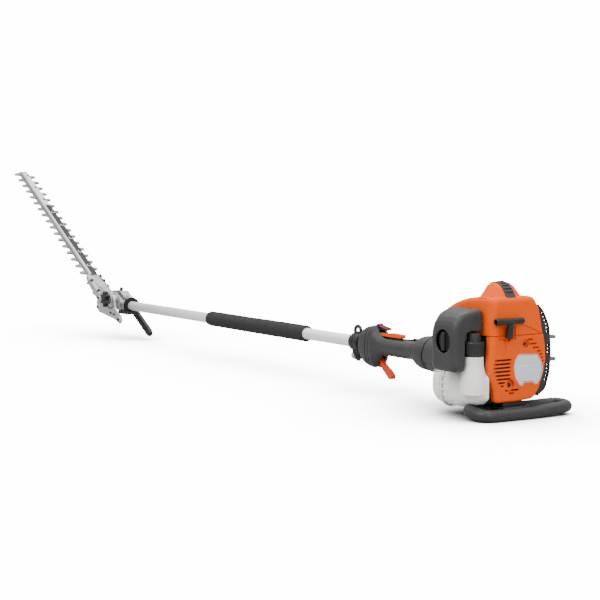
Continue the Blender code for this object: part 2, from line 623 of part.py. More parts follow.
top_sections = []
for x, ztop, y0, y1, zb, r in (
        (50.0, 209.0, -55.5, 47.0, SEAM_Z + 0.15, 12),
        (47.5, 212.0, -58.0, 50.0, SEAM_Z + 0.15, 14),
        (34.0, 213.0, -58.0, 53.0, SEAM_Z + 0.15, 16),
        (0.0, 212.0, -58.0, 56.0, SEAM_Z + 0.15, 18),
        (-25.0, 209.0, -57.0, 56.0, SEAM_Z + 0.15, 20),
        (-60.0, 199.0, -55.0, 54.0, SEAM_Z + 0.15, 22),
        (-90.0, 187.0, -50.0, 50.0, SEAM_Z + 0.15, 22),
        (-104.0, 176.0, -44.0, 44.0, SEAM_Z + 0.15, 18)):
    loop = fillet([(y0, zb), (y1 + (9 if x > 40 else 6), zb), (y1, (zb + ztop) / 2 + 12), (y1 - 12, ztop),
                   (y0, ztop)], [0.01, 0.01, 18, r, 8], 4)
    top_sections.append([(x, y, z) for y, z in loop])


def cover_inset(sec, x, t):
    cy = sum(p[1] for p in sec) / len(sec)
    out = []
    for _, y, z in sec:
        yy = y + (t if y < cy else -t)
        zz = z - t if z > SEAM_Z + 5 else z - 6
        out.append((x, yy, zz))
    return out


cov = part(loft(top_sections), "cylinder_cover", ORANGE)
inner_sections = [cover_inset(s, x, 3.0) for s, x in
                  zip(top_sections, (47.0, 38.0, 30.0, 0.0, -25.0, -60.0, -90.0, -101.0))]
inner_sections = inner_sections[1:]
hump = []
for x, zt, half_t, half_b in ((42.0, 210.0, 18.0, 36.0), (36.0, 222.0, 18.0, 38.0),
                              (24.0, 234.0, 18.0, 40.0), (8.0, 239.0, 18.5, 41.0),
                              (-4.0, 237.0, 18.0, 40.0), (-13.0, 227.0, 17.0, 38.0),
                              (-20.0, 204.0, 16.0, 34.0)):
    cy = -6.0
    hump.append([(x, y, z) for y, z in fillet(
        [(cy - half_b, 186.0), (cy + half_b, 186.0), (cy + half_b, 196.0),
         (cy + half_t, zt), (cy - half_t, zt), (cy - half_b, 196.0)],
        [1, 1, 6, 8, 8, 6], 3)])
boolean(cov, loft(hump), "UNION")
boolean(cov, loft(inner_sections))
boolean(cov, box(44.5, 54, -41, -5, 140, 168, 2, 1))
boolean(cov, box(-67, 6, 38, 72, 130, 175, 2, 1))

strap_pts = []


def strap_outline(lift, thick, past=0.0):
    top = [(40.0 + past, 215.0 - past), (36.5, 221.0), (26.0, 234.0), (8.0, 240.5),
           (-4.0, 238.6), (-12.5 - past / 2, 229.0 - past)]
    up = [(x, z + lift) for x, z in top]
    dn = [(x - 1.0, z - thick) for x, z in reversed(top)]
    return up + dn


boolean(cov, prism(strap_outline(3.0, 5.4, 3.0), -18.3, 2.3, "XZ"))
strap = part(prism(strap_outline(-0.6, 3.8), -18.0, 2.0, "XZ"), "top_strap", DARK)

pul = part(turned_x([(35, 5.5), (35, 22), (37, 22), (38, 18), (41, 18), (42, 22),
                     (44, 22), (44, 5.5)], 20), "starter_pulley", BLACK)

SH = (57.5, -23.0, 172.0)
bar = part(turned([(-56.5, 0), (-56.5, 6.0), (-48, 6.3), (-27, 5.4), (-6, 5.4),
                   (4.0, 5.8), (5.5, 5.0), (5.5, 0)], (SH[0], 0, SH[2]), (0, 1, 0), 20,
                  closed=False), "starter_handle", BLACK)
boolean(bar, cyl((SH[0], SH[1], SH[2]), (54.0, SH[1], 142.5), 6.2, 6.8, seg=20), "UNION")
boolean(bar, cyl((SH[0], -60, SH[2]), (SH[0], -47, SH[2]), 4.0, seg=14))

lab = fillet([(1, 112), (43, 112), (52, 100), (52, 80), (41, 62), (36, 62), (34, 66),
              (14, 66), (12, 62), (6, 62), (-7, 80), (-7, 100)],
             [8, 8, 12, 12, 3, 1, 1, 1, 1, 3, 12, 12], 3)
part(prism([(y, z) for y, z in lab], FACE_X + 0.3, FACE_X + 1.5), "label_plate", LABEL)

# =======================================================================
# 8. Fuel tank, cap and the ground guard
# =======================================================================
def tank_loop(x, y0, y1, z0, z1, r, n=4):
    return [(x, y, z) for y, z in fillet([(y0, z0), (y1, z0), (y1, z1), (y0, z1)], r, n)]


def tank_body(t):
    return loft([tank_loop(-103 + t, -60 + t, 34 - t, 38 + t, 79 - t, 12),
                 tank_loop(-99 + t, -70 + t, 40 - t, 28 + t, 82.6 - t, 16),
                 tank_loop(-92, -77 + t, 45 - t, 21 + t, 84 - t, 19),
                 tank_loop(-80, -80 + t, 46 - t, 18 + t, 84 - t, 20),
                 tank_loop(-36, -80 + t, 46 - t, 18 + t, 84 - t, 20),
                 tank_loop(-22, -80 + t, 46 - t, 29.5 + t, 84 - t, 18),
                 tank_loop(18, -80 + t, 42 - t, 30.5 + t, 84 - t, 18),
                 tank_loop(34 - t, -79 + t, 40 - t, 32 + t, 82 - t, 16),
                 tank_loop(46 - t, -75 + t, 36 - t, 38 + t, 76 - t, 12)])


tank = part(tank_body(0.0), "fuel_tank", TANK)
boolean(tank, turned([(58, 0), (58, 21.5), (70, 21.5), (80, 20.5), (90, 18.0), (97, 17.0),
                      (112.4, 17.0), (112.4, 0)], (CAP_X, CAP_Y, 0), (0, 0, 1), 20,
                     closed=False), "UNION")
boolean(tank, tank_body(2.5))
boolean(tank, turned([(61, 0), (61, 18.5), (70, 18.5), (80, 17.5), (88, 14.5), (97, 13.5),
                      (120, 13.5), (120, 0)], (CAP_X, CAP_Y, 0), (0, 0, 1), 20,
                     closed=False))
boolean(tank, cyl((-110, 0, AXIS_Z), (60, 0, AXIS_Z), 46, seg=24))
boolean(tank, box(-74, 60, -58.0, 60, 16, 120))

CAPO = (CAP_X, CAP_Y, 125.0)
fcap = part(shifted(turned([(113.0, 0), (113.0, 18.3), (136, 18.3), (138, 16.5),
                            (138, 12.5), (151, 11.5), (152.5, 10), (152.5, 0)],
                           (CAP_X, CAP_Y, 0), (0, 0, 1), 20, closed=False), *CAPO),
            "fuel_cap", BLACK, at(*CAPO))

guard_path = fillet([(54, -77), (58, 22), (57, 116), (18, 120), (-2, 30), (2, -77)],
                    [22, 60, 24, 24, 60, 22], 4)
loop = []
for x, y in guard_path:
    z = 10.0
    if y > 20:
        z += 5.0 * (y - 20) / 100.0
    if y < -20:
        z += 5.0 * min(1.0, (-20 - y) / 45.0) * max(0.0, min(1.0, (58 - x) / 38.0))
    loop.append((x, y, z))
eng = part(wire(loop, GUARD_R, "guard", DARK, resolution=3, cyclic=True),
           "engine_guard", DARK)
boolean(eng, prism(fillet([(-24, 16.4), (46, 16.4), (50, 21.6), (-30, 21.6)], 0.5, 1),
                   -28, 30, "XZ"), "UNION")
boolean(eng, box(-12, 12, -12, 12, -4, 19, 1.5, 1), "UNION")
boolean(eng, box(-80, 110, -120, 160, -30, 0))

# =======================================================================
# 9. Cutter head: neck, collar, latch, pivot pin and knob (fixed side)
# =======================================================================
part(tube_x(-1519.4, -1511.5, 22.8, TUBE_R + GAP, 24, round_end=2.5), "collar_ring", RUBBER)

neck = part(turned_x([(-1519.8, TUBE_R + GAP), (-1519.8, 17.3), (-1524, 17.8),
                      (-1552, 17.8), (-1556, 16.5), (-1576, 16.0), (-1576, 0),
                      (-1575, 0), (-1575, 9.0), (-1553, 9.0), (-1553, TUBE_R + GAP)], 24),
            "neck_housing", CAST)
px, _, pz = PIVOT
boolean(neck, cyl((px, -15.7, pz), (px, 15.7, pz), 16.2, seg=24), "UNION")
boolean(neck, cyl((px, -23.0, pz), (px, 18.6, pz), 12, seg=24), "UNION")
boolean(neck, prism(fillet([(-1553, 76), (-1553, 107.5), (-1571, 117.5), (px + 3, 121.4),
                            (px - 3, 91), (-1573, 76.5)], 2, 2), -15.4, 15.4, "XZ"),
        "UNION")
boolean(neck, cyl((-1574.5, 0, AXIS_Z), (-1552, 0, AXIS_Z), 9.5, seg=20))
boolean(neck, cyl((px, -40, pz), (px, 40, pz), 5.4, seg=16))

part(turned_x([(-1570, 0), (-1570, 6.0), (-1560, 8.6), (-1557, 8.6), (-1556.4, 8.6),
               (-1556.4, 0)], 16, closed=False), "drive_pinion", STEEL)

LATCH = (-1548.0, 0.0, 113.5)
latch = part(shifted(prism(fillet([(-1545, 110.4), (-1545, 116.5), (-1553, 117.5),
                                   (-1570, 127.8), (-1612, 127.8), (-1614, 123.4),
                                   (-1572, 123.2), (-1557, 114.6)], 1.5, 2),
                           -8, 8, "XZ"), *LATCH), "lock_lever", CAST, at(*LATCH))
ball = bmesh.new()
bmesh.ops.create_uvsphere(ball, u_segments=14, v_segments=9, radius=5.6)
bmesh.ops.translate(ball, vec=(-1578, 0, 132.0), verts=ball.verts)
boolean(latch, shifted(ball, *LATCH), "UNION")

# =======================================================================
# 10. Cutter head: tilting side, built along the blade in its own frame:
#     x runs forward along the blade, y to the operator's left, z up from it
# =======================================================================
H = Matrix(((-math.cos(TILT), 0, math.sin(TILT), PIVOT[0]),
            (0, -1, 0, PIVOT[1]),
            (math.sin(TILT), 0, math.cos(TILT), PIVOT[2]),
            (0, 0, 0, 1)))

pin = part(cyl((0, -37, 0), (0, 35.7, 0), 4.6, seg=20), "pivot_pin", STEEL, H)

case_side = fillet([(41, -63), (72, -61), (150, -57), (186, -51), (186, -41), (168, -31),
                    (104, -24), (58, -18), (41, -22)], [3, 6, 6, 2, 4, 6, 8, 6, 4], 2)
gc = part(prism(case_side, -15.5, 15.5, "XZ"), "gear_case", CAST, H)
flange = fillet([(74, -59.5), (132, -57), (178, -51.5), (178, -38.6), (74, -37.4)], 3, 2)
boolean(gc, prism(flange, -22.4, 22.4, "XZ"), "UNION")
far = fillet([(17, 14), (66, -20), (98, -38), (98, -54), (62, -57), (24, -40),
              (-14, -20), (-36, -17), (-36, -2), (-14, 14)],
             [12, 8, 4, 4, 8, 10, 8, 6, 6, 12], 3)
boolean(gc, prism(far, -28.0, -19.0, "XZ"), "UNION")
boolean(gc, cyl((0, -40, 0), (0, 40, 0), 5.0, seg=20))
boolean(gc, box(58, 198, -16.8, 16.8, -49.8, -40.1))
boolean(gc, cyl((100, 0, -56.8), (100, 0, -45), 17.0, seg=24))

near = fillet([(-16, 13), (17, 14), (66, -22), (76, -56), (68, -69), (48, -75), (28, -66),
               (-36, -40), (-62, -29), (-77, -28), (-85, -18), (-77, -8), (-60, -9),
               (-38, -10)], [12, 12, 8, 8, 6, 8, 12, 14, 6, 9, 9, 9, 6, 14], 3)
sec = part(prism(near, 23.6, 31.0, "XZ"), "sector_plate", CAST, H)
boolean(sec, cyl((0, 10, 0), (0, 45, 0), 5.0, seg=20))
bevel(sec, 1.2, 1, 50)

handle = part(loft([[(x, -38 + hy * math.cos(2 * math.pi * i / 20),
                      -25.2 + hz * math.sin(2 * math.pi * i / 20)) for i in range(20)]
                    for x, hy, hz in ((-6, 7.0, 8.0), (-10, 9.0, 10.0), (-52, 9.2, 10.6),
                                      (-120, 9.2, 11.0), (-133, 8.6, 10.4),
                                      (-140, 6.2, 7.6), (-143, 2.5, 3.0))]),
              "adjust_handle", BLACK, H)
for i in range(4):
    x = -110 + 19 * i
    boolean(handle, cyl((x, -20, -28), (x, -34, -28), 5.0, seg=14))

knob2 = part(prism([(0 + (16.8 + 2.7 * math.cos(6 * a)) * math.cos(a),
                     0 + (16.8 + 2.7 * math.cos(6 * a)) * math.sin(a))
                    for a in [2 * math.pi * i / 36 for i in range(36)]],
                   36.0, 52.0, "XZ"), "clamp_knob", BLACK, H)
bevel(knob2, 1.6, 1, 50)

part(turned([(BLADE_B - 9.2, 0), (BLADE_B - 9.2, 16.4), (BLADE_B - 3.6, 16.4),
             (BLADE_B - 3.6, 0)], (100, 0, 0), (0, 0, 1), 24, closed=False),
     "crank_gear", STEEL, H)


def blade_outline(first, shift):
    """Both edges of a reciprocating blade: hooked teeth on a straight body."""
    body, tip = 15.0, 30.0
    left, right = [], []
    for k in range(TOOTH_COUNT):
        x = first + TOOTH_PITCH * k
        left += [(x - 12.5, body), (x - 4.2, tip), (x + 2.6, tip), (x + 9.5, body)]
        xr = x + shift
        if xr + 12 < BLADE_TIP:
            right += [(xr - 12.5, -body), (xr - 4.2, -tip), (xr + 2.6, -tip),
                      (xr + 9.5, -body)]
    edge = [(BLADE_START, -13.0), (BLADE_START, 13.0), (178.0, 13.0), (182.0, body)]
    edge += left
    edge += [(BLADE_TIP - 4, body), (BLADE_TIP, 8.0), (BLADE_TIP, -8.0),
             (BLADE_TIP - 4, -body)]
    edge += right[::-1]
    edge += [(182.0, -body), (178.0, -13.0)]
    return edge


bu = part(prism(blade_outline(TOOTH_FIRST, TOOTH_PITCH / 2), BLADE_B + 0.3, BLADE_B + 2.6,
                "XY"), "blade_upper", STEEL, H)
bl = part(prism(blade_outline(TOOTH_FIRST, TOOTH_PITCH / 2), BLADE_B - 2.6, BLADE_B - 0.3,
                "XY"), "blade_lower", STEEL, H)

gb = part(prism(fillet([(158, -12), (158, 12), (698, 9), (708, 0), (698, -9)],
                       [2, 2, 6, 3, 6], 2), BLADE_B + 3.0, BLADE_B + 5.8, "XY"),
          "guide_bar", STEEL, H)

# empties on the joint axes, with the moving pieces under them
AXES = {
    "tilt_axis": (PIVOT, ["gear_case", "sector_plate", "adjust_handle", "guide_bar",
                          "blade_upper", "blade_lower", "crank_gear", "pivot_pin"]),
    "crank_axis": ((0, 0, AXIS_Z), ["crankshaft", "flywheel", "clutch_shoe_a",
                                    "clutch_shoe_b"]),
    "shaft_axis": ((-880, 0, AXIS_Z), ["drive_shaft", "clutch_drum", "drive_pinion"]),
}
bpy.context.view_layer.update()
for name, (p, kids) in AXES.items():
    e = bpy.data.objects.new(name, None)
    e.empty_display_size = 0.02
    PARTS.objects.link(e)
    e.location = Vector(p) * MM
    bpy.context.view_layer.update()
    for k in kids:
        ob = bpy.data.objects[k]
        world = ob.matrix_world.copy()
        ob.parent = e
        ob.matrix_parent_inverse = e.matrix_world.inverted()
        ob.matrix_world = world
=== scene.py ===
import json
import math

import bmesh
import bpy
from mathutils import Matrix, Vector
from mathutils.bvhtree import BVHTree


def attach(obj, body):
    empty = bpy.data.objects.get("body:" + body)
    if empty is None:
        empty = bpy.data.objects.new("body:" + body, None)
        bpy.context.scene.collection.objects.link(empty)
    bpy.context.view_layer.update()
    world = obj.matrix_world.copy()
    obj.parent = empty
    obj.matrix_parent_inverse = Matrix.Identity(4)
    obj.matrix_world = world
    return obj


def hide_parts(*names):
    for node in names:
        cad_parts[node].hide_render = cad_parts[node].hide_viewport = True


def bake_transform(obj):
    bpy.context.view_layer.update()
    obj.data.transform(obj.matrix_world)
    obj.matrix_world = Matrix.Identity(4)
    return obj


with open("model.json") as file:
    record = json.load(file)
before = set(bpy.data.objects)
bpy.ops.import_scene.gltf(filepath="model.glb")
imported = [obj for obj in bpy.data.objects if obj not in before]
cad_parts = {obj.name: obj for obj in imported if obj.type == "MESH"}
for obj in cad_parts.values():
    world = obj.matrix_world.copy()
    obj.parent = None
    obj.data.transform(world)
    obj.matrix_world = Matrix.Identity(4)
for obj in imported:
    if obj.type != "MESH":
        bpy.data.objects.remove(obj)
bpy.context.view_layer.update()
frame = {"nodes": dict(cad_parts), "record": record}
NODES = frame["nodes"]

MM = 0.001
AXIS = 91.0                      # height of the pole and crankshaft line


# ---------------------------------------------------------------- objects and solids
def new_object(name, mesh):
    """Write a bmesh to a new object in the scene."""
    data = bpy.data.meshes.new(name)
    mesh.to_mesh(data)
    mesh.free()
    obj = bpy.data.objects.new(name, data)
    bpy.context.scene.collection.objects.link(obj)
    return obj


def discard(obj):
    data = obj.data
    bpy.data.objects.remove(obj, do_unlink=True)
    bpy.data.meshes.remove(data)


def evaluated(obj):
    """The bmesh an object has after its modifiers; the object is removed."""
    bpy.context.view_layer.update()
    depsgraph = bpy.context.evaluated_depsgraph_get()
    data = bpy.data.meshes.new_from_object(obj.evaluated_get(depsgraph))
    mesh = bmesh.new()
    mesh.from_mesh(data)
    bpy.data.meshes.remove(data)
    discard(obj)
    return mesh


def csg(base, *operations):
    """Add ("+") or cut away ("-") solids, in order."""
    obj = new_object("base", base)
    tools = []
    for sign, solid in operations:
        tool = new_object("tool", solid)
        tools.append(tool)
        boolean = obj.modifiers.new("boolean", "BOOLEAN")
        boolean.operation = "UNION" if sign == "+" else "DIFFERENCE"
        boolean.object = tool
        boolean.solver = "EXACT"
    result = evaluated(obj)
    for tool in tools:
        discard(tool)
    return result


def moulded(mesh, voxel, smooth, ratio=0.5):
    """Even out a solid so that its edges are softly rounded as if moulded."""
    volume = abs(mesh.calc_volume(signed=True))
    spare = mesh.copy()
    obj = new_object("mould", mesh)
    remesh = obj.modifiers.new("remesh", "REMESH")
    remesh.mode = "VOXEL"
    remesh.voxel_size = voxel * 1.0
    soften = obj.modifiers.new("soften", "SMOOTH")
    soften.factor = 0.5
    soften.iterations = max(1, int(smooth / (1)))
    thin_out = obj.modifiers.new("thin_out", "DECIMATE")
    thin_out.ratio = ratio
    result = evaluated(obj)
    # a solid that loses much of its volume in the remesh keeps its sharp form
    if abs(result.calc_volume(signed=True)) < 0.8 * volume:
        result.free()
        return spare
    spare.free()
    return result


def add_bevel(obj, name, width, angle):
    bevel = obj.modifiers.new(name, "BEVEL")
    bevel.width = width * MM
    bevel.segments = 2
    bevel.limit_method = "ANGLE"
    bevel.angle_limit = math.radians(angle)


def piece(name, mesh, material, replaces=(), body="powerhead", slot=None, angle=40,
          bevel=0.0, matrix=None):
    """Write a finished piece and put it on its body.

    The slot is looked up from the material unless given; nothing sets it on the piece.
    """
    if matrix is not None:
        bmesh.ops.transform(mesh, matrix=matrix, verts=mesh.verts)
    bmesh.ops.scale(mesh, vec=(MM, MM, MM), verts=mesh.verts)
    bmesh.ops.recalc_face_normals(mesh, faces=mesh.faces)
    obj = new_object(name, mesh)
    obj.data.materials.append(material)
    obj.data.shade_smooth()
    obj.data.set_sharp_from_angle(angle=math.radians(angle))
    if bevel:
        add_bevel(obj, "bevel", bevel, 35)
    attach(obj, body)
    if slot is None:
        slot = SLOT_OF[material.name]
    if replaces:
        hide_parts(*replaces)
    return obj


def merged(*meshes):
    result = bmesh.new()
    for mesh in meshes:
        data = bpy.data.meshes.new("merge")
        mesh.to_mesh(data)
        mesh.free()
        result.from_mesh(data)
        bpy.data.meshes.remove(data)
    return result


def box(x0, x1, y0, y1, z0, z1, bevel=0.0, segments=2):
    mesh = bmesh.new()
    bmesh.ops.create_cube(mesh, size=1.0)
    bmesh.ops.scale(mesh, vec=(x1 - x0, y1 - y0, z1 - z0), verts=mesh.verts)
    bmesh.ops.translate(mesh, vec=((x0 + x1) / 2, (y0 + y1) / 2, (z0 + z1) / 2),
                        verts=mesh.verts)
    if bevel:
        bmesh.ops.bevel(mesh, geom=mesh.edges[:], offset=bevel, segments=segments,
                        profile=0.5, affect="EDGES", clamp_overlap=True)
    return mesh


def boxes(*rows):
    return merged(*[box(*row) for row in rows])


def rod(start, end, radius, end_radius=None, sides=40):
    """A cylinder, or a cone if end_radius differs."""
    start, end = Vector(start), Vector(end)
    along = end - start
    turn = along.to_track_quat("Z", "Y").to_matrix().to_4x4()
    mesh = bmesh.new()
    bmesh.ops.create_cone(mesh, cap_ends=True, segments=sides, radius1=radius,
                          radius2=radius if end_radius is None else end_radius,
                          depth=along.length,
                          matrix=Matrix.Translation((start + end) / 2) @ turn)
    return mesh


def lathe(profile, origin=(0, 0, 0), axis=(0, 0, 1), sides=64, shape=None):
    """Turn (height, radius) pairs about an axis.

    The last pair joins the first: a profile off the axis makes a ring, one that starts
    and ends on it a solid. shape(height, radius, angle) changes a radius.
    """
    frame_matrix = Vector(axis).normalized().to_track_quat("Z", "Y").to_matrix().to_4x4()
    frame_matrix.translation = Vector(origin)
    mesh = bmesh.new()
    rings = []
    for height, radius in profile:
        if radius <= 1e-6:
            rings.append([mesh.verts.new(frame_matrix @ Vector((0, 0, height)))])
            continue
        ring = []
        for i in range(sides):
            angle = 2 * math.pi * i / sides
            reach = radius if shape is None else shape(height, radius, angle)
            ring.append(mesh.verts.new(frame_matrix @ Vector(
                (reach * math.cos(angle), reach * math.sin(angle), height))))
        rings.append(ring)
    for low, high in zip(rings, rings[1:] + rings[:1]):
        for i in range(sides):
            j = (i + 1) % sides
            corners = [low[i % len(low)], low[j % len(low)],
                       high[j % len(high)], high[i % len(high)]]
            corners = list(dict.fromkeys(corners))
            if len(corners) >= 3:
                mesh.faces.new(corners)
    bmesh.ops.recalc_face_normals(mesh, faces=mesh.faces)
    return mesh


def lathe_x(profile, sides=64, shape=None):
    """Turn (x, radius) pairs about the pole line."""
    return lathe(profile, (0, 0.0, AXIS), (1, 0, 0), sides, shape)


def fillet(points, radii, steps=6):
    """Round the corners of a closed outline; radii is one value or one per corner."""
    result = []
    for i in range(len(points)):
        radius = radii[i] if isinstance(radii, (list, tuple)) else radii
        corner = Vector(points[i])
        if radius <= 0:
            result.append((corner.x, corner.y))
            continue
        back = Vector(points[i - 1]) - corner
        ahead = Vector(points[(i + 1) % len(points)]) - corner
        back_length, ahead_length = back.length, ahead.length
        back.normalize()
        ahead.normalize()
        angle = math.acos(max(-1, min(1, back.dot(ahead))))
        trim = min(radius / math.tan(angle / 2), back_length * 0.48, ahead_length * 0.48)
        start, end = corner + back * trim, corner + ahead * trim
        for j in range(steps + 1):
            u = j / steps
            point = start * (1 - u) ** 2 + corner * 2 * u * (1 - u) + end * u ** 2
            result.append((point.x, point.y))
    return result


def inset(points, distance):
    """Move a counter-clockwise outline inwards (outwards if negative)."""
    result = []
    for i in range(len(points)):
        point = Vector(points[i])
        before = point - Vector(points[i - 1])
        after = Vector(points[(i + 1) % len(points)]) - point
        if before.length < 1e-6 or after.length < 1e-6:
            result.append((point.x, point.y))
            continue
        normal = (Vector((-before.y, before.x)).normalized()
                  + Vector((-after.y, after.x)).normalized()).normalized()
        result.append((point.x + normal.x * distance, point.y + normal.y * distance))
    return result


def loft(sections, cyclic=False):
    """Skin equal-length loops of points; cyclic joins the ends in place of caps."""
    mesh = bmesh.new()
    loops = [[mesh.verts.new(p) for p in section] for section in sections]
    count = len(loops[0])
    for one, two in zip(loops, loops[1:] + (loops[:1] if cyclic else [])):
        for i in range(count):
            j = (i + 1) % count
            mesh.faces.new((one[i], one[j], two[j], two[i]))
    if not cyclic:
        mesh.faces.new(loops[0][::-1])
        mesh.faces.new(loops[-1])
    bmesh.ops.recalc_face_normals(mesh, faces=mesh.faces)
    return mesh


def prism(outline, low, high, plane="YZ"):
    """Extrude an outline drawn in a plane from low to high along the third axis."""
    place = {"YZ": lambda a, b, level: (level, a, b),
             "XZ": lambda a, b, level: (a, level, b),
             "XY": lambda a, b, level: (a, b, level)}[plane]
    return loft([[place(a, b, level) for a, b in outline] for level in (low, high)])


def oval(x, y, z, half_y, half_z, count, power=2.0):
    """A loop across X; a power above 2 squares it off."""
    result = []
    for i in range(count):
        angle = 2 * math.pi * i / count
        c, s = math.cos(angle), math.sin(angle)
        result.append((x, y + half_y * math.copysign(abs(c) ** (2 / power), c),
                       z + half_z * math.copysign(abs(s) ** (2 / power), s)))
    return result


def sweep(points, radius, sides=10, cyclic=False):
    """A round bar along a list of points."""
    path = [Vector(p) for p in points]
    count = len(path)
    up = Vector((0, 0, 1))
    rings = []
    for i, point in enumerate(path):
        if cyclic:
            along = (path[(i + 1) % count] - path[i - 1]).normalized()
        else:
            along = (path[min(i + 1, count - 1)] - path[max(i - 1, 0)]).normalized()
        steep = abs(along.dot(up)) > 0.97
        side = along.cross(Vector((1, 0, 0)) if steep else up).normalized()
        normal = side.cross(along).normalized()
        angles = [2 * math.pi * j / sides for j in range(sides)]
        rings.append([point + side * radius * math.cos(a) + normal * radius * math.sin(a)
                      for a in angles])
    return loft(rings, cyclic)


def bolt(place, axis, radius, height, washer):
    """A socket-head bolt standing on a washer, pointing along axis."""
    top = washer + height
    return lathe([(0, 0), (0, radius * 1.25), (washer * 0.7, radius * 1.25),
                  (washer, radius * 1.1), (washer, radius), (top - 0.5, radius),
                  (top, radius - 0.5), (top, radius * 0.52), (top - 1.5, radius * 0.5),
                  (top - 1.5, 0)], place, axis, 20)


def bolts(*rows):
    return merged(*[bolt(*row) for row in rows])


def nut(place, radius, top_radius, shoulder, height):
    """A hexagon nut pointing down, chamfered above its shoulder."""
    return lathe([(0, 0), (0, radius), (shoulder, radius), (height, top_radius), (height, 0)],
                 place, (0, 0, -1), 6)


def resampled(points, count):
    """Evenly spaced points along a path."""
    path = [Vector(p) for p in points]
    run = [0.0]
    for start, end in zip(path, path[1:]):
        run.append(run[-1] + (end - start).length)
    result = []
    for i in range(count):
        target = run[-1] * i / (count - 1)
        k = next(j for j in range(len(run) - 1) if run[j + 1] >= target - 1e-9)
        part = (target - run[k]) / max(1e-9, run[k + 1] - run[k])
        result.append(path[k].lerp(path[k + 1], part))
    return result


def seam(name, points, target, direction, material, radius=0.45, count=28, slot=""):
    """A thin line laid on a surface by casting the points along a direction."""
    data = target.data
    tree = BVHTree.FromPolygons([v.co.copy() for v in data.vertices],
                                [tuple(p.vertices) for p in data.polygons])
    ray = Vector(direction).normalized()
    found = []
    for point in resampled(points, count):
        place = tree.ray_cast(point * MM, ray)[0]
        if place is not None:
            found.append(place / MM)
    if len(found) > 2:
        piece(name, sweep(found, radius, 6), material, slot=slot, angle=60)


# ---------------------------------------------------------------- materials
SLOT_MATERIAL = {}               # slot name: the material that fills it
SLOT_OF = {}                     # material name: the slot its pieces take


def feed(tree, node, inputs):
    """Link or set the inputs of a node."""
    for key, value in inputs.items():
        if isinstance(value, bpy.types.NodeSocket):
            tree.links.new(value, node.inputs[key])
        else:
            node.inputs[key].default_value = value


def add_node(tree, kind, inputs, **settings):
    node = tree.nodes.new("ShaderNode" + kind)
    for key, value in settings.items():
        setattr(node, key, value)
    feed(tree, node, inputs)
    return node


def add_ramp(tree, factor, low, high):
    ramp = add_node(tree, "ValToRGB", {"Fac": factor})
    ramp.color_ramp.elements[0].position = low
    ramp.color_ramp.elements[1].position = high
    return ramp


def overlay(tree, mask, low, high, strength, colour, under):
    """Lay a colour over another where the mask rises from low to high."""
    ramp = add_ramp(tree, mask, low, high)
    amount = add_node(tree, "Math", {0: ramp.outputs["Color"], 1: strength},
                      operation="MULTIPLY")
    mix = add_node(tree, "Mix", {"B": (*colour, 1), "Factor": amount.outputs[0], "A": under},
                   data_type="RGBA")
    return mix.outputs["Result"]


def finish(name, base, rough, metal=0.0, tint=0.06, patches=30.0, bump=0.05, grain=700.0,
           wear=0.12, wear_colour=None, rough_spread=0.10, coat=0.0, subsurface=0.0,
           stretch=(1, 1, 1), cells=False, speck=0.0, specular=0.35, slot=None):
    """A material with patchy tint and roughness, worn edges and a fine bump.

    tint: colour change between patches; patches, grain: noise scales of patches and bump;
    wear: strength of wear_colour on edges; speck: strength of pale specks; stretch: noise
    scale per axis; cells: a cell pattern for the bump; slot: slot taken if not the name.
    """
    material = bpy.data.materials.new(name)
    material.use_nodes = True
    tree = material.node_tree
    coordinates = add_node(tree, "TexCoord", {})
    mapping = add_node(tree, "Mapping", {"Scale": stretch,
                                         "Vector": coordinates.outputs["Object"]})
    vector = mapping.outputs["Vector"]

    def noise(scale, detail):
        node = add_node(tree, "TexNoise", {"Scale": scale, "Detail": detail,
                                           "Vector": vector})
        return node.outputs["Fac"]

    patch = noise(patches, 5.0)
    ramp = add_ramp(tree, patch, 0.3, 0.7)
    dark = [max(0.0, c * (1 - tint)) for c in base]
    light = [min(1.0, c * (1 + tint)) for c in base]
    ramp.color_ramp.elements[0].color = (*dark, 1)
    ramp.color_ramp.elements[1].color = (*light, 1)
    geometry = add_node(tree, "NewGeometry", {})
    worn = wear_colour or [min(1.0, c * 1.6 + 0.04) for c in base]
    colour = overlay(tree, geometry.outputs["Pointiness"], low=0.53, high=0.62,
                     strength=wear, colour=worn, under=ramp.outputs["Color"])
    if speck:
        pale = [min(1.0, c * 2.2 + 0.05) for c in base]
        colour = overlay(tree, noise(2600.0, 1.0), low=0.56, high=0.70, strength=speck,
                         colour=pale, under=colour)

    if cells:
        height = None
    else:
        height = noise(grain, 4.0)
    roughness = add_node(tree, "MapRange", {"To Min": max(0.02, rough - rough_spread),
                                            "To Max": min(1.0, rough + rough_spread),
                                            "Value": patch})
    if cells:
        voronoi = add_node(tree, "TexVoronoi", {"Scale": 520.0, "Vector": vector})
        height = voronoi.outputs["Distance"]
    relief = add_node(tree, "Bump", {"Strength": bump, "Distance": 0.0006, "Height": height})

    principled = tree.nodes["Principled BSDF"]
    feed(tree, principled, {"Base Color": colour, "Roughness": roughness.outputs["Result"],
                            "Normal": relief.outputs["Normal"], "Metallic": metal,
                            "Specular IOR Level": specular})
    if coat:
        feed(tree, principled, {"Coat Weight": coat, "Coat Roughness": 0.15})
    if subsurface:
        feed(tree, principled, {"Subsurface Weight": subsurface,
                                "Subsurface Radius": (0.01, 0.009, 0.007),
                                "Subsurface Scale": 0.6})
    material.diffuse_color = (*base, 1)
    SLOT_OF[material.name] = slot or name
    if slot is None:
        SLOT_MATERIAL[name] = material
    return material


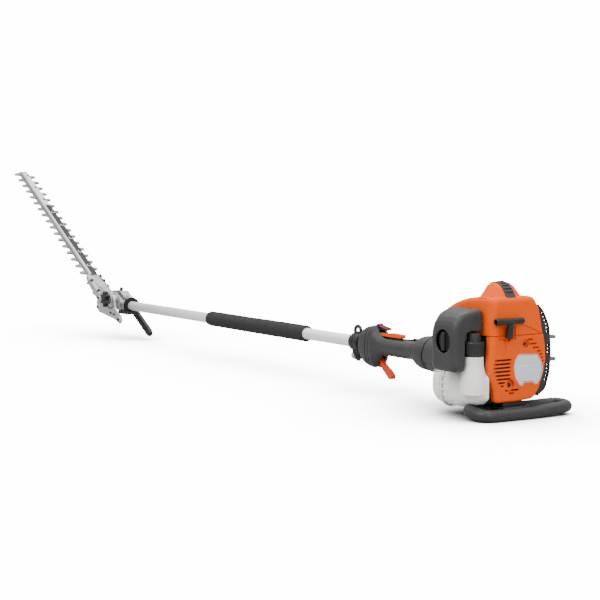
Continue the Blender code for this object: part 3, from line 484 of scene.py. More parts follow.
ORANGE = finish("orange_shell", (0.80, 0.088, 0.0004), rough=0.38, tint=0.03, bump=0.06,
                grain=1500, wear=0.10, wear_colour=(1.0, 0.20, 0.02), specular=0.08)
ORANGE_SEAM = finish("orange_seam", (0.16, 0.018, 0.002), rough=0.7, tint=0.1, wear=0.0,
                     specular=0.1)
RED = finish("red_control", (0.72, 0.045, 0.004), rough=0.36, wear=0.30,
             wear_colour=(1.0, 0.20, 0.03), coat=0.05, specular=0.3)
SIGNAL = finish("signal_red", (0.62, 0.008, 0.022), rough=0.35, tint=0.05, coat=0.1,
                slot="red_control")
DARK = finish("dark_plastic", (0.031, 0.031, 0.032), rough=0.44, tint=0.10, bump=0.16,
              grain=1800, wear=0.22, wear_colour=(0.11, 0.11, 0.11), speck=0.06)
BLACK = finish("black_plastic", (0.012, 0.012, 0.013), rough=0.42, tint=0.12, bump=0.12,
               grain=1700, wear=0.25, wear_colour=(0.06, 0.06, 0.06), speck=0.05)
FOAM = finish("foam", (0.026, 0.026, 0.028), rough=0.9, tint=0.15, patches=55, bump=0.5,
              cells=True, wear=0.2, wear_colour=(0.07, 0.07, 0.07), speck=0.2, specular=0.2)
RUBBER = finish("rubber", (0.006, 0.006, 0.006), rough=0.66, tint=0.2, bump=0.2, wear=0.2,
                wear_colour=(0.03, 0.03, 0.03), specular=0.2)
TANK = finish("tank_plastic", (0.90, 0.89, 0.83), rough=0.30, tint=0.02, patches=18,
              bump=0.04, grain=900, wear=0.15, wear_colour=(0.95, 0.94, 0.90),
              subsurface=0.20)
# Painted shade: a darker tank colour for the grooves beside the weld
TANK_PAINTED_SHADE = finish("tank_painted_groove_shade", (0.46, 0.455, 0.43), rough=0.5, tint=0.04, wear=0.0,
                    slot="tank_plastic")
LABEL = finish("label", (0.62, 0.645, 0.675), rough=0.38, tint=0.02, bump=0.02, wear=0.1)
LABEL_EDGE = finish("label_edge", (0.80, 0.81, 0.82), rough=0.35, tint=0.02, wear=0.1,
                    slot="label")
ALU = finish("aluminium", (0.92, 0.925, 0.93), rough=0.32, metal=0.30, tint=0.015,
             patches=60, bump=0.04, grain=400, wear=0.1, rough_spread=0.05,
             stretch=(0.03, 1, 1))
CAST = finish("cast_aluminium", (0.56, 0.565, 0.57), rough=0.38, metal=0.70, tint=0.12,
              patches=45, bump=0.35, grain=900, wear=0.5, wear_colour=(0.92, 0.92, 0.92))
STEEL = finish("steel", (0.42, 0.43, 0.42), rough=0.30, metal=0.95, tint=0.16, patches=50,
               bump=0.12, grain=600, wear=0.3, wear_colour=(0.85, 0.85, 0.84),
               rough_spread=0.12, stretch=(0.15, 1, 1))
BLADE = finish("blade_steel", (0.30, 0.30, 0.285), rough=0.34, metal=0.9, tint=0.20,
               patches=35, bump=0.15, grain=500, wear=0.6, wear_colour=(0.90, 0.90, 0.88),
               rough_spread=0.12, stretch=(0.3, 1, 0.3), slot="steel")
# Dark oiled steel, also used for the painted shadow slivers under the bar's edge
OILED_STEEL_AND_SHADOW = finish("oiled_steel_and_painted_shadow", (0.014, 0.014, 0.013), rough=0.36, metal=0.25, tint=0.25,
               patches=60, bump=0.1, wear=0.3, wear_colour=(0.30, 0.29, 0.27), slot="steel")
BOLT = finish("black_bolt", (0.016, 0.016, 0.018), rough=0.36, metal=0.5, tint=0.2, bump=0.1,
              wear=0.5, wear_colour=(0.25, 0.25, 0.25), slot="steel")
GREY = finish("grey_boss", (0.16, 0.16, 0.16), rough=0.5, metal=0.5, tint=0.12, bump=0.25,
              wear=0.3, slot="cast_aluminium")
finish("filter_felt", (0.72, 0.66, 0.50), rough=0.95, tint=0.12, bump=0.6, grain=500, wear=0)
CERAMIC = finish("ceramic", (0.85, 0.85, 0.83), rough=0.2, tint=0.02, bump=0.02, coat=0.5)

for row in frame["record"]["subparts"]:
    cad_mesh = NODES[row["node"]].data
    cad_mesh.materials.clear()
    cad_mesh.materials.append(SLOT_MATERIAL[row["material_slot"]])
NODES["spark_plug"].data.materials[0] = CERAMIC


# ---------------------------------------------------------------- pole, foam grip, clamp
piece("tube", lathe_x([
    (-1552, 10.6), (-1552, 11.9), (-1551.6, 12.2), (-221.4, 12.2), (-221, 11.9),
    (-221, 10.6)], 72), ALU, replaces=["pole_tube"])

# (x, radius): rounded end, straight run, rounded end
FOAM_PROFILE = (
    [(-1066.0, 12.5), (-1066.0, 14.2), (-1065.2, 15.8), (-1063.6, 16.9), (-1061.0, 17.5)]
    + [(-1058.0 + 422.0 * i / 60, 17.6) for i in range(61)]
    + [(-635.0, 17.3), (-633.7, 16.6), (-633.0, 15.4), (-633.0, 12.5)])


def foam_shape(x, radius, angle):
    """Make the outside slightly uneven; the bore stays round."""
    if radius < 13:
        return radius
    waves = 0.10 * math.sin(3 * angle + x * 0.021) + 0.08 * math.sin(x * 0.11 + 5 * angle)
    return radius + waves - 0.05


piece("foam_grip", lathe_x(FOAM_PROFILE, shape=foam_shape), FOAM, replaces=["fore_grip"])

# Split clamp with a bolt block below and an eye root above
clamp = csg(
    lathe_x([(-449, 0), (-449, 17.4), (-448.3, 18.6), (-446.5, 19.0), (-422.5, 19.0),
             (-420.7, 18.6), (-420, 17.4), (-420, 0)]),
    ("+", prism(fillet([(-448, 76), (-447, 56), (-427, 56), (-424, 76)], 4, 5), -9, 9, "XZ")),
    ("+", prism(fillet([(-448.2, 103), (-445, 112), (-434, 112), (-431, 103)], 2, 4),
                -4.2, 4.2, "XZ")),
    ("-", rod((-460, 0, AXIS), (-410, 0, AXIS), 12.7, sides=63)),
    ("-", box(-460, -410, -1.2, 1.2, 45, 84)))
piece("clamp_body", moulded(clamp, 0.7, 3), BLACK, body="harness",
      replaces=["harness_clamp"])
eye_angles = [math.radians(a) for a in range(-72, 253, 9)]
piece("clamp_eye", sweep([(-439 + 10.0 * math.cos(a), 0, 113.8 + 9.0 * math.sin(a))
                          for a in eye_angles], 3.7, 16), BLACK, body="harness")
piece("clamp_groove", lathe_x([(-436.2, 18.8), (-436.2, 19.25), (-434.8, 19.25),
                               (-434.8, 18.8)]), RUBBER, body="harness")
piece("clamp_bolt_head", merged(
    bolt((-437, -8.9, 64.5), (0, -1, 0), 4.2, 4.0, 1.4),
    nut((-437, 0, 55.4), 4.6, 3.6, 2.6, 3.4)), BOLT, body="harness", angle=30)

# ---------------------------------------------------------------- throttle handle
# (x, centre z, half width, half height, oval power)
HANDLE_STATIONS = [
    (-416.0, 90.6, 15.5, 20.8, 2.0), (-415.2, 90.2, 17.2, 24.0, 2.05),
    (-412.5, 89.6, 19.0, 28.4, 2.15), (-408.0, 88.8, 20.4, 32.4, 2.25),
    (-401.0, 88.0, 21.3, 36.4, 2.4), (-393.0, 87.6, 21.9, 39.2, 2.5),
    (-385.2, 87.4, 22.2, 41.0, 2.5), (-384.6, 87.4, 20.6, 39.4, 2.5),
    (-382.6, 87.4, 20.6, 39.6, 2.5), (-382.0, 87.4, 22.4, 41.6, 2.5),
    (-376.0, 87.8, 22.6, 42.2, 2.45), (-373.8, 88.0, 22.7, 42.6, 2.4),
    (-373.2, 88.0, 21.2, 41.2, 2.4), (-371.8, 88.1, 21.2, 41.4, 2.4),
    (-371.2, 88.2, 23.3, 43.2, 2.4), (-369.0, 88.4, 23.6, 43.4, 2.4),
    (-364.5, 88.7, 23.6, 43.2, 2.4), (-362.4, 88.8, 23.2, 42.6, 2.4),
    (-361.2, 89.0, 22.0, 41.0, 2.35), (-358.0, 89.2, 21.0, 36.5, 2.3),
    (-354.0, 89.8, 20.2, 31.0, 2.2), (-349.0, 90.5, 19.3, 25.0, 2.1),
    (-344.0, 91.0, 18.6, 20.6, 2.0), (-338.0, 91.0, 18.1, 18.4, 2.0),
    (-320.0, 91.0, 17.7, 17.8, 2.0), (-296.0, 91.0, 17.5, 17.5, 2.0),
    (-265.0, 91.0, 17.7, 17.7, 2.0), (-245.0, 91.0, 18.0, 18.0, 2.0)]
handle = csg(
    loft([oval(x, 0, z, half_y, half_z, 64, power)
          for x, z, half_y, half_z, power in HANDLE_STATIONS]),
    ("-", rod((-430, 0, AXIS), (-230, 0, AXIS), 12.5, sides=48)),
    ("-", box(-392, -343, -6.6, 6.6, 38, 75, 1.0, 1)),          # trigger opening
    ("-", box(-367, -278, -7.5, 7.5, 105.2, 121.5, 1.0, 1)),    # lockout opening
    ("-", box(-381.5, -335, -7.0, 7.0, 122.2, 142, 1.0, 1)),    # switch opening
    ("-", box(-450, -200, -0.28, 0.28, 40, 80)),                # joint of the halves
    ("-", box(-450, -366, -0.28, 0.28, 104, 142)))
piece("handle_shell", handle, DARK, angle=32,
      replaces=["throttle_housing_left", "throttle_housing_right"])
for k, place in enumerate(((-398, -18.6, 108), (-398, -18.6, 72), (-376, -20.5, 62))):
    piece("handle_screw_%d" % k, bolt(place, (0, -1, 0), 2.4, 0.8, 0.6), BOLT, angle=30)
# Ribs round the underside of the grip
RIB_PITCH = 11
for k in range(7):
    x = -330 + RIB_PITCH * k
    angles = [math.radians(215 + 110 * i / 14) for i in range(15)]
    piece("grip_rib_%d" % k, sweep(
        [(x, 17.6 * math.cos(a), AXIS + 17.6 * math.sin(a)) for a in angles], 0.8, 8), DARK)

TRIGGER_X, TRIGGER_Z = -366.0, 61.0      # trigger pivot
# (x, z) from the pivot
TRIGGER_POINTS = [(-8, -3), (-4, -11), (6, -13.5), (15, -13), (27, -23), (41, -33.5),
                  (49, -33.5), (52, -27), (45, -19), (27, -9), (14, -1), (7, 8), (-6, 8)]
trigger_outline = fillet([(TRIGGER_X + x, TRIGGER_Z + z) for x, z in TRIGGER_POINTS],
                         [5, 5, 5, 6, 6, 5, 5, 5, 8, 6, 5, 4, 4], 5)
trigger = csg(
    prism(trigger_outline, -5.0, 5.0, "XZ"),
    ("-", prism(inset(trigger_outline, 2.0), -6.5, -2.6, "XZ")),
    ("-", prism(inset(trigger_outline, 2.0), 2.6, 6.5, "XZ")),
    ("-", rod((TRIGGER_X, -9, TRIGGER_Z), (TRIGGER_X, 9, TRIGGER_Z), 2.7)))
piece("trigger_lever", moulded(trigger, 0.5, 3, 0.4), RED, body="trigger",
      replaces=["throttle_trigger"])

LOCKOUT_X, LOCKOUT_Z = -357.0, 114.0     # lockout origin
LOCKOUT_POINTS = [(-6, -3), (20, -3.2), (71, -3.0), (74, -1), (72.5, 4.0), (34, 4.8),
                  (30, 3.0), (8, 2.6), (-5, 3)]
lockout = csg(
    prism(fillet([(LOCKOUT_X + x, LOCKOUT_Z + z) for x, z in LOCKOUT_POINTS],
                 [2, 4, 1.5, 1.5, 2.2, 2, 2, 2, 2], 4), -6, 6, "XZ"),
    *[("-", box(LOCKOUT_X + x, LOCKOUT_X + x + 2, -7, 7, LOCKOUT_Z + 3.3, LOCKOUT_Z + 6))
      for x in (60, 54, 48)])
piece("lockout_lever", moulded(lockout, 0.5, 4, 0.4), ORANGE, body="lockout",
      replaces=["throttle_lockout"])

switch_outline = fillet([
    (-375, 123.4), (-349, 123.2), (-330, 123.0), (-327.6, 125.0), (-332, 127.6),
    (-348, 130.0), (-357, 131.6), (-366, 132.4), (-375, 129.0)], 1.6, 4)
piece("switch_lever", moulded(prism(switch_outline, -5.5, 5.5, "XZ"), 0.5, 3, 0.4), BLACK,
      body="switch")
button_outline = fillet([(-366, 130.5), (-356.5, 130.0), (-356.5, 133.4), (-360, 134.6),
                         (-366, 134.4)], 1.2, 4)
piece("switch_button", prism(button_outline, -4.6, 4.6, "XZ"), SIGNAL, body="switch",
      replaces=["stop_switch"], bevel=0.5)
piece("switch_stripe", sweep([(-355, -5.6, 129.6), (-346, -5.65, 128.6),
                              (-337, -5.65, 126.6), (-330, -5.6, 124.9)], 0.55, 8),
      SIGNAL, body="switch")

piece("throttle_cable", sweep(
    [(-352 + 108 * t, 8.9 + 1.5 * math.sin(math.pi * t),
      110.0 - 3.4 * math.sin(math.pi * t) + 0.4 * t)
     for t in [i / 40 for i in range(41)]], 2.3, 14), RUBBER, replaces=["control_cable"])
for k in range(9):
    piece("cable_boot_%d" % k, lathe(
        [(0, 2.4), (0.5, 3.3), (1.1, 3.3), (1.6, 2.4)],
        (-262.0 + 1.9 * k, 9.0, 109.4 + 0.10 * k), (1, 0, 0.05), 18), RUBBER)

# ---------------------------------------------------------------- clutch cover and housing
piece("flare", lathe_x([
    (-244.7, 12.5), (-244.7, 18.0), (-243.8, 18.6), (-239, 19.2), (-234, 20.6),
    (-229, 23.0), (-223, 26.6), (-217, 29.4), (-211, 31.2), (-205, 32.2), (-195, 33.0),
    (-184.8, 33.6), (-183.6, 33.0), (-183.6, 28.4), (-213, 24.0), (-219, 12.5)], 72),
    DARK, replaces=["clutch_cover"])
piece("damper_ring", lathe_x([
    (-183.3, 28.5), (-183.3, 31.6), (-182.8, 32.2), (-179.4, 32.2), (-178.9, 31.6),
    (-178.9, 28.5)], 72), RUBBER, replaces=["av_ring"])


def housing_shape(x, radius, angle):
    """Raise four ribs along the outside."""
    if radius < 31 or x < -176:
        return radius
    return radius + 1.2 * max(0.0, math.cos(4 * angle + 0.4)) ** 24


piece("bell_housing", lathe_x([
    (-178.6, 28.5), (-178.6, 33.4), (-177.6, 34.4), (-172, 34.8), (-165, 35.4),
    (-152, 36.6), (-140, 37.9), (-128, 39.6), (-116, 41.7), (-110, 42.4), (-105, 42.7),
    (-104.4, 42.2), (-104.4, 37.0), (-120, 34.0), (-150, 31.0), (-170, 28.5)], 96,
    shape=housing_shape), DARK, replaces=["clutch_housing"])
piece("loom", sweep([(-206, 10, 121.5), (-196, 10, 125.6), (-180, 10, 127.4),
                     (-160, 10, 128.6), (-140, 11, 130.2), (-118, 12, 133.0)], 2.2, 12),
      RUBBER)
for k, degrees in enumerate((25, 115, 205, 295)):
    c, s = math.cos(math.radians(degrees)), math.sin(math.radians(degrees))
    piece("bell_screw_%d" % k, bolt((-172.0, 34.6 * c, AXIS + 34.6 * s), (0, c, s),
                                    2.2, 1.0, 0.6), BOLT, angle=30)

# ---------------------------------------------------------------- engine top cover
SEAM = 146.15                    # height where the top cover meets the starter housing
HUMP_Y = -6.0                    # centre of the hump on the cover
WALL = 3.2

# (x, top z, near y, far y, extra width of the far edge)
COVER_STATIONS = [
    (50.0, 204.0, -49.0, 45.0, 9), (49.2, 207.4, -50.6, 47.2, 9.5),
    (46.8, 210.6, -53.4, 49.6, 9.5), (42.0, 212.4, -56.4, 52.4, 8),
    (36.0, 213.0, -58.0, 53.0, 6), (20.0, 213.0, -58.0, 54.5, 6),
    (0.0, 212.0, -58.0, 56.0, 6), (-25.0, 209.0, -57.0, 56.0, 6),
    (-45.0, 204.0, -56.0, 55.0, 6), (-65.0, 197.5, -54.5, 53.5, 6),
    (-88.0, 188.0, -50.5, 50.5, 6), (-99.0, 181.0, -46.0, 46.0, 6),
    (-104.0, 173.0, -41.0, 41.0, 6)]
# x of the hollow's sections, matched to the cover stations from the fourth on
HOLLOW_X = (38.0, 30.0, 20, 0, -25, -45, -65, -86, -95, -101)
# (x, top z, top half width, base half width)
HUMP_STATIONS = [
    (43.5, 202.0, 15.0, 35.0), (41.0, 210.5, 15.5, 37.0), (36.0, 219.5, 16.0, 39.0),
    (30.0, 227.0, 16.0, 40.5), (24.0, 232.2, 16.5, 41.0), (16.0, 235.8, 16.5, 42.0),
    (8.0, 237.2, 16.5, 42.0), (0.0, 236.4, 16.5, 41.0), (-6.0, 233.3, 16.0, 40.0),
    (-12.0, 226.0, 15.5, 38.0), (-17.0, 216.0, 17.0, 36.0), (-20.0, 203.0, 16.0, 34.0)]
# (x, z) along the strap that lies over the hump
STRAP_POINTS = [(41.6, 209.5), (36.6, 218.6), (31.0, 226.2), (24.0, 232.4), (16.0, 236.0),
                (8.0, 237.4), (0.0, 236.6), (-6.0, 233.6), (-11.5, 227.0)]


def cover_section(x, top, near, far, extra):
    loop = fillet([(near, SEAM), (far + extra, SEAM), (far, (SEAM + top) / 2 + 12),
                   (far - 12, top), (near + 1.5, top)], [0.01, 0.01, 20, 17, 11], 8)
    return [(x, y, z) for y, z in loop]


def hollow_section(section, x):
    centre = sum(point[1] for point in section) / len(section)
    return [(x, y + (WALL if y < centre else -WALL), z - WALL if z > SEAM + 5 else z - 6)
            for _, y, z in section]


def hump_section(x, top, half_top, half_base):
    loop = fillet([(HUMP_Y - half_base, 186), (HUMP_Y + half_base, 186),
                   (HUMP_Y + half_base, 198), (HUMP_Y + half_top, top),
                   (HUMP_Y - half_top, top), (HUMP_Y - half_base, 198)],
                  [1, 1, 6, 11, 11, 6], 6)
    return [(x, y, z) for y, z in loop]


def strap_path(lift):
    """The strap line moved off the hump by lift."""
    result = []
    last = len(STRAP_POINTS) - 1
    for i, point in enumerate(STRAP_POINTS):
        along = (Vector(STRAP_POINTS[min(i + 1, last)])
                 - Vector(STRAP_POINTS[max(i - 1, 0)])).normalized()
        normal = Vector((along.y, -along.x))
        if normal.y < 0:
            normal = -normal
        moved = Vector(point) + normal * lift
        result.append((moved.x, moved.y))
    return result


def strap_rib(step):
    """A rib across the strap; step counts strap points, with a fraction."""
    path = strap_path(1.0)
    i = int(step)
    start, end = Vector(path[i]), Vector(path[i + 1])
    centre = start.lerp(end, step - i)
    along = (end - start).normalized()
    rib = box(-1.7, 1.7, -7.4, 7.4, -1.2, 0.7, 0.5, 2)
    bmesh.ops.transform(rib, verts=rib.verts, matrix=(
        Matrix.Translation((centre.x, -8, centre.y))
        @ Matrix.Rotation(-math.atan2(along.y, along.x), 4, "Y")))
    return rib


cover_sections = [cover_section(*station) for station in COVER_STATIONS]
cover = csg(
    loft(cover_sections),
    ("+", loft([hump_section(*station) for station in HUMP_STATIONS])),
    ("-", loft([hollow_section(section, x)
                for section, x in zip(cover_sections[3:], HOLLOW_X)])),
    ("-", prism(strap_path(6.0) + strap_path(-2.6)[::-1], -18.4, 2.4, "XZ")),
    ("-", box(44.5, 60, -42, -4, 138, 165, 3, 3)),
    ("-", box(-67, 6, 38, 72, 130, 175, 2, 1)))
shell_cover = piece("shell_cover", moulded(cover, 1.0, 5, 0.35), ORANGE,
                    replaces=["cylinder_cover"], angle=50)
piece("strap_pad", prism(strap_path(0.9) + strap_path(-2.4)[::-1], -17.9, 1.9, "XZ"), DARK,
      replaces=["top_strap"], bevel=0.7)
piece("strap_ribs", merged(*[strap_rib(step) for step in (1.25, 2.05, 2.85, 3.65, 4.6)]),
      BLACK)

# ---------------------------------------------------------------- starter housing (+X face)
# (y, z)
FRONT_OUTLINE = fillet([
    (-46, 30), (0, 29.5), (40, 32.5), (52, 50), (62, 78), (67, 101), (64.8, 128),
    (60.3, 145.8), (-57.0, 145.8), (-58.5, 119), (-60, 94), (-59.2, 81), (-53, 65),
    (-48.5, 50)], [8, 0, 16, 10, 10, 10, 10, 0, 0, 20, 10, 8, 8, 6], 6)
# (z, y start, y end) of the slots: lower ones, and upper ones toward the far side
LOWER_SLOTS = [(104.5, -51, -13), (97.9, -52.5, -15), (91.3, -53, -15), (84.7, -52, -15),
               (78.1, -49.5, -15), (71.5, -47, -15), (65.2, -42.5, -27),
               (59.6, -37, -30.5), (51.4, -27, 4), (46.0, -19, -7)]
UPPER_SLOTS = [(137.5, 23, 35), (129.8, 27, 43), (122.8, 34, 49), (116.4, 45, 53.5),
               (110.4, 50, 56.5), (104.4, 53, 58.5), (98.4, 55.5, 59.5)]


def front_loop(x, depth, lean=0.0):
    """The outline drawn in by depth; lean draws the near side in further."""
    result = []
    for y, z in inset(FRONT_OUTLINE, depth):
        if z > 144:
            z = 145.8
        if y < -20:
            y += lean * min(1.0, (-20 - y) / 25.0)
        result.append((x, y, z))
    return result


def starter_housing():
    front = csg(
        loft([front_loop(34.2, 0), front_loop(44.0, 0.0), front_loop(46.5, 0.8, 1.5),
              front_loop(48.6, 2.0, 3.4), front_loop(50.0, 4.0, 5.0)]),
        ("-", rod((32, 0, AXIS), (45.6, 0, AXIS), 45, sides=48)),
        ("-", rod((44, 19, 130), (56, 17.5, 131), 7.4, sides=32)),
        ("-", rod((42.7, -15.13, 58.43), (56, -15.1, 62.1), 9.23, sides=31)))
    # room for the starter handle
    front = csg(
        front, ("-", box(44.7, 60.3, -42.1, -4.2, 139.3, 150.2)),
        ("-", loft([[(54.0, -41, 152), (54.0, -23.5, 106), (54.0, -2, 152)],
                    [(46.2, -29, 152), (46.2, -23.5, 121), (46.2, -13, 152)]])))
    slots = [("-", box(45 if y0 < -46 else 43, 56, y0, y1, z - half, z + half, 0.8, 2))
             for rows, half in ((LOWER_SLOTS, 1.7), (UPPER_SLOTS, 1.6))
             for z, y0, y1 in rows]
    return csg(moulded(front, 0.85, 3), *slots)


piece("shell_front", starter_housing(), ORANGE, replaces=["starter_housing"])
piece("recess_floors", merged(rod((43.9, -15, 60), (45.2, -15, 60.2), 10.2, sides=36),
                              rod((44.2, 19, 130), (45.4, 19, 130), 8.4, sides=36)),
      ORANGE, bevel=0.3)
piece("slot_backing", csg(
    rod((43.4, 0, AXIS), (44.4, 0, AXIS), 44.8, sides=64),
    ("-", rod((40, 0, AXIS), (50, 0, AXIS), 8, sides=24)),
    ("-", rod((40, -15, 60), (50, -15, 60), 10.4, sides=36)),
    ("-", rod((40, 19, 130), (50, 19, 130), 8.6, sides=36))), BLACK)
piece("gasket", csg(
    prism([(y, min(z, 146.0)) for y, z in inset(FRONT_OUTLINE, -1.5)], 32.4, 34.1),
    ("-", rod((30, 0, AXIS), (36, 0, AXIS), 46, sides=40))), RUBBER, bevel=0.4)
piece("front_screws", bolts(((45.0, -15, 60.0), (1, 0, 0.1), 3.2, 1.8, 0.6),
                            ((45.2, 19.5, 130.0), (1, 0, 0.0), 2.6, 1.2, 0.6)),
      BOLT, angle=30)


def screen_bar(y):
    """An upright bar of the intake screen, cut to a circle."""
    low = AXIS - math.sqrt(max(0, 46 ** 2 - y * y))
    high = AXIS + (math.sqrt(44 ** 2 - y * y) if abs(y) < 44 else 1)
    return box(45.1, 45.5, y - 0.4, y + 0.4, low, high)


piece("intake_screen", merged(*[screen_bar(-48 + 8 * i) for i in range(13)]), BLACK)

# name, start points, casting direction
COVER_SEAMS = [
    ("seam_right", [(60, 6, 164.5), (60, 16, 162.5), (60, 28, 158.5), (60, 41, 152.8),
                    (60, 52, 147.6)], (-1, 0, 0)),
    ("seam_left", [(60, -57, 146.6), (60, -43, 146.4)], (-1, 0, 0)),
    ("seam_hump_low", [(30, -80, 213.6), (4, -80, 213.6)], (0, 1, -0.12)),
    ("seam_hump_up", [(60, -41.5, 213.5), (60, -39.5, 236)], (-1, 0, -0.05)),
    ("seam_hump_base", [(90, -41, 216.5), (90, -60, 216.0)], (-1, 0.1, -0.05))]
for name, points, direction in COVER_SEAMS:
    seam(name, points, shell_cover, direction, ORANGE_SEAM)

# Starter handle: a bar along Y on a short stem
PULL_X, PULL_Y, PULL_Z = 57.5, -23.0, 172.0
pull = csg(
    lathe([(-56.5, 0), (-56.5, 5.0), (-55.6, 6.0), (-48, 6.3), (-38, 5.9), (-27, 5.5),
           (-6, 5.5), (1.5, 5.8), (4.6, 5.6), (5.5, 4.6), (5.5, 0)],
          (PULL_X, 0, PULL_Z), (0, 1, 0), 40),
    ("+", rod((PULL_X, PULL_Y, PULL_Z - 1), (54.3, PULL_Y, 142.5), 6.0, 6.9, sides=36)),
    ("+", rod((PULL_X, PULL_Y, PULL_Z), (PULL_X - 0.8, PULL_Y, PULL_Z - 9), 8.6, 5.6,
              sides=36)),
    ("-", rod((PULL_X, -60, PULL_Z), (PULL_X, -46, PULL_Z), 4.0, sides=24)))
piece("pull_grip", moulded(pull, 0.6, 5), BLACK, body="pull_handle",
      replaces=["starter_handle"])
# The rope is a fixed piece, taken off every body
starter_rope = piece("starter_rope", sweep(
    [(54.2 + 0.03 * i * 0.2, PULL_Y, 137.5 + 0.30 * i) for i in range(20)], 1.6, 10),
    RUBBER, slot="")
starter_rope.parent = None
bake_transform(starter_rope)

# Blank label with a raised edge and two bars; (y, z)
BADGE_OUTLINE = fillet([
    (-4, 104), (3, 111.5), (43, 109.5), (53, 95), (55, 81), (50, 69), (43, 60.5),
    (37.5, 60.5), (36, 64.5), (13, 65), (10, 60), (5, 60), (-4, 73), (-8, 90)],
    [7, 5, 7, 10, 10, 10, 3, 1, 1.5, 1.5, 1, 3, 8, 14], 6)
piece("badge", prism(BADGE_OUTLINE, 50.3, 51.4), LABEL, replaces=["label_plate"], bevel=0.4)
piece("badge_edge", sweep([(51.4, y, z) for y, z in inset(BADGE_OUTLINE[::-1], -1.6)],
                          0.35, 6, cyclic=True), LABEL_EDGE)
piece("badge_bars", boxes((51.2, 51.62, 3, 42, 91.5, 92.6), (51.2, 51.62, 14, 42, 84, 84.8)),
      LABEL_EDGE)

# Dark bars over the top cover and along its far side
for k, y in enumerate((6, 26)):
    seam("shield_edge_%d" % k, [(-32, y, 260), (-96, y, 260)], shell_cover, (0, 0, -1),
         BLACK, radius=1.7, count=40, slot="black_plastic")
piece("shield_rim", sweep([(20 - 92 * t, 53.5, 205.0 - 26 * t * t)
                           for t in [i / 24 for i in range(25)]], 3.4, 12), BLACK)

# ---------------------------------------------------------------- filter cover, knob, cap
KNOB_X, KNOB_Z = -3, 138
# (y, x start, x end, bottom z, top z, corner radius, radius of the -X top corner)
LID_STATIONS = [
    (-123.6, -27, 20, 93, 158, 12, 20), (-122.6, -32, 25, 89, 165, 13, 24),
    (-119.5, -37, 28, 86.5, 173, 14, 28), (-114.0, -41, 29.6, 85.4, 180, 14, 30),
    (-104.0, -46, 30, 85, 187, 13, 28), (-90.0, -50, 30, 85, 191, 12, 24),
    (-76.0, -53, 30, 85, 192.6, 11, 20), (-63.4, -54, 30, 85, 193, 10, 16)]
LID_HOLLOW_STATIONS = [
    (-119.0, -30, 25, 90, 162, 10, 20), (-110.0, -38, 27, 88, 177, 12, 24),
    (-90.0, -47, 27, 88, 187, 10, 20), (-58.0, -51, 27, 88, 190, 8, 14)]


def lid_section(y, x0, x1, z0, z1, radius, top_radius):
    loop = fillet([(x0, z0), (x1, z0), (x1, z1), (x0, z1)],
                  [radius, radius, radius, top_radius], 9)
    return [(x, y, z) for x, z in loop]


lid = csg(
    loft([lid_section(*station) for station in LID_STATIONS]),
    ("-", loft([lid_section(*station) for station in LID_HOLLOW_STATIONS])),
    ("-", prism(fillet([(-100, 76), (-46, 76), (-46, 156), (-100, 156)], [0, 0, 0, 17], 8),
                3, 60)),
    ("-", rod((KNOB_X, -130, KNOB_Z), (KNOB_X, -113, KNOB_Z), 19.5, sides=48)),
    ("-", rod((KNOB_X, -119, KNOB_Z), (KNOB_X, -126, KNOB_Z), 19.6, 21.6, sides=48)),
    ("-", box(-32, 2, -110, -91, 101, 168)),
    ("-", box(2, 16, -70, -62, 188, 196)),
    ("-", box(5, 9, -120, -50, 84.5, 86.5)))
piece("filter_lid", moulded(lid, 1.1, 6, 0.4), DARK, body="filter_cover",
      replaces=["air_filter_cover"], angle=50)
piece("lid_clip", merged(
    sweep([(-34, -117, 84.4), (-28, -119.5, 83.8), (-18, -119.8, 83.8), (-12, -117, 84.4)],
          1.1, 8),
    sweep([(-44, -104, 84.4), (-40, -108, 83.9), (-37, -112, 84.2)], 1.1, 8)),
    STEEL, body="filter_cover")

knob = csg(
    lathe([(-4.5, 0), (-4.5, 17.4), (-3.7, 18.4), (-1.2, 18.7), (0, 18.2), (0, 0)],
          (KNOB_X, -113, KNOB_Z), (0, 1, 0), 56),
    ("+", box(-7.6, 1.6, -124.2, -116, 121.5, 154.5, 3.2, 4)),
    ("-", rod((KNOB_X, -119, 155), (KNOB_X, -125, 158), 2.0, sides=16)),
    ("+", rod((KNOB_X, -114, KNOB_Z), (KNOB_X, -93, KNOB_Z), 5, sides=24)))
piece("lid_knob", moulded(knob, 0.6, 4), BLACK, body="filter_knob", replaces=["cover_knob"])

FILLER_X, FILLER_Y = 25, -77     # upright line of the filler neck and fuel cap


def cap_shape(height, radius, angle):
    """Flute the skirt and the upper boss."""
    if 115.0 < height < 134.5 and radius > 15:
        return radius - 0.55 + 0.55 * math.cos(28 * angle)
    if height > 140 and radius > 9:
        return radius - 0.4 + 0.4 * math.cos(20 * angle)
    return radius


piece("cap_body", lathe([
    (113.0, 0), (113.0, 17.6), (114.0, 18.3), (116.5, 18.3), (133.5, 18.3), (135.4, 18.0),
    (137.4, 16.8), (138.0, 15.0), (138.0, 12.8), (139.4, 12.5), (149.4, 11.8),
    (151.6, 11.0), (152.5, 9.4), (152.5, 0)], (FILLER_X, FILLER_Y, 0), sides=168,
    shape=cap_shape), BLACK, body="tank_cap", replaces=["fuel_cap"])

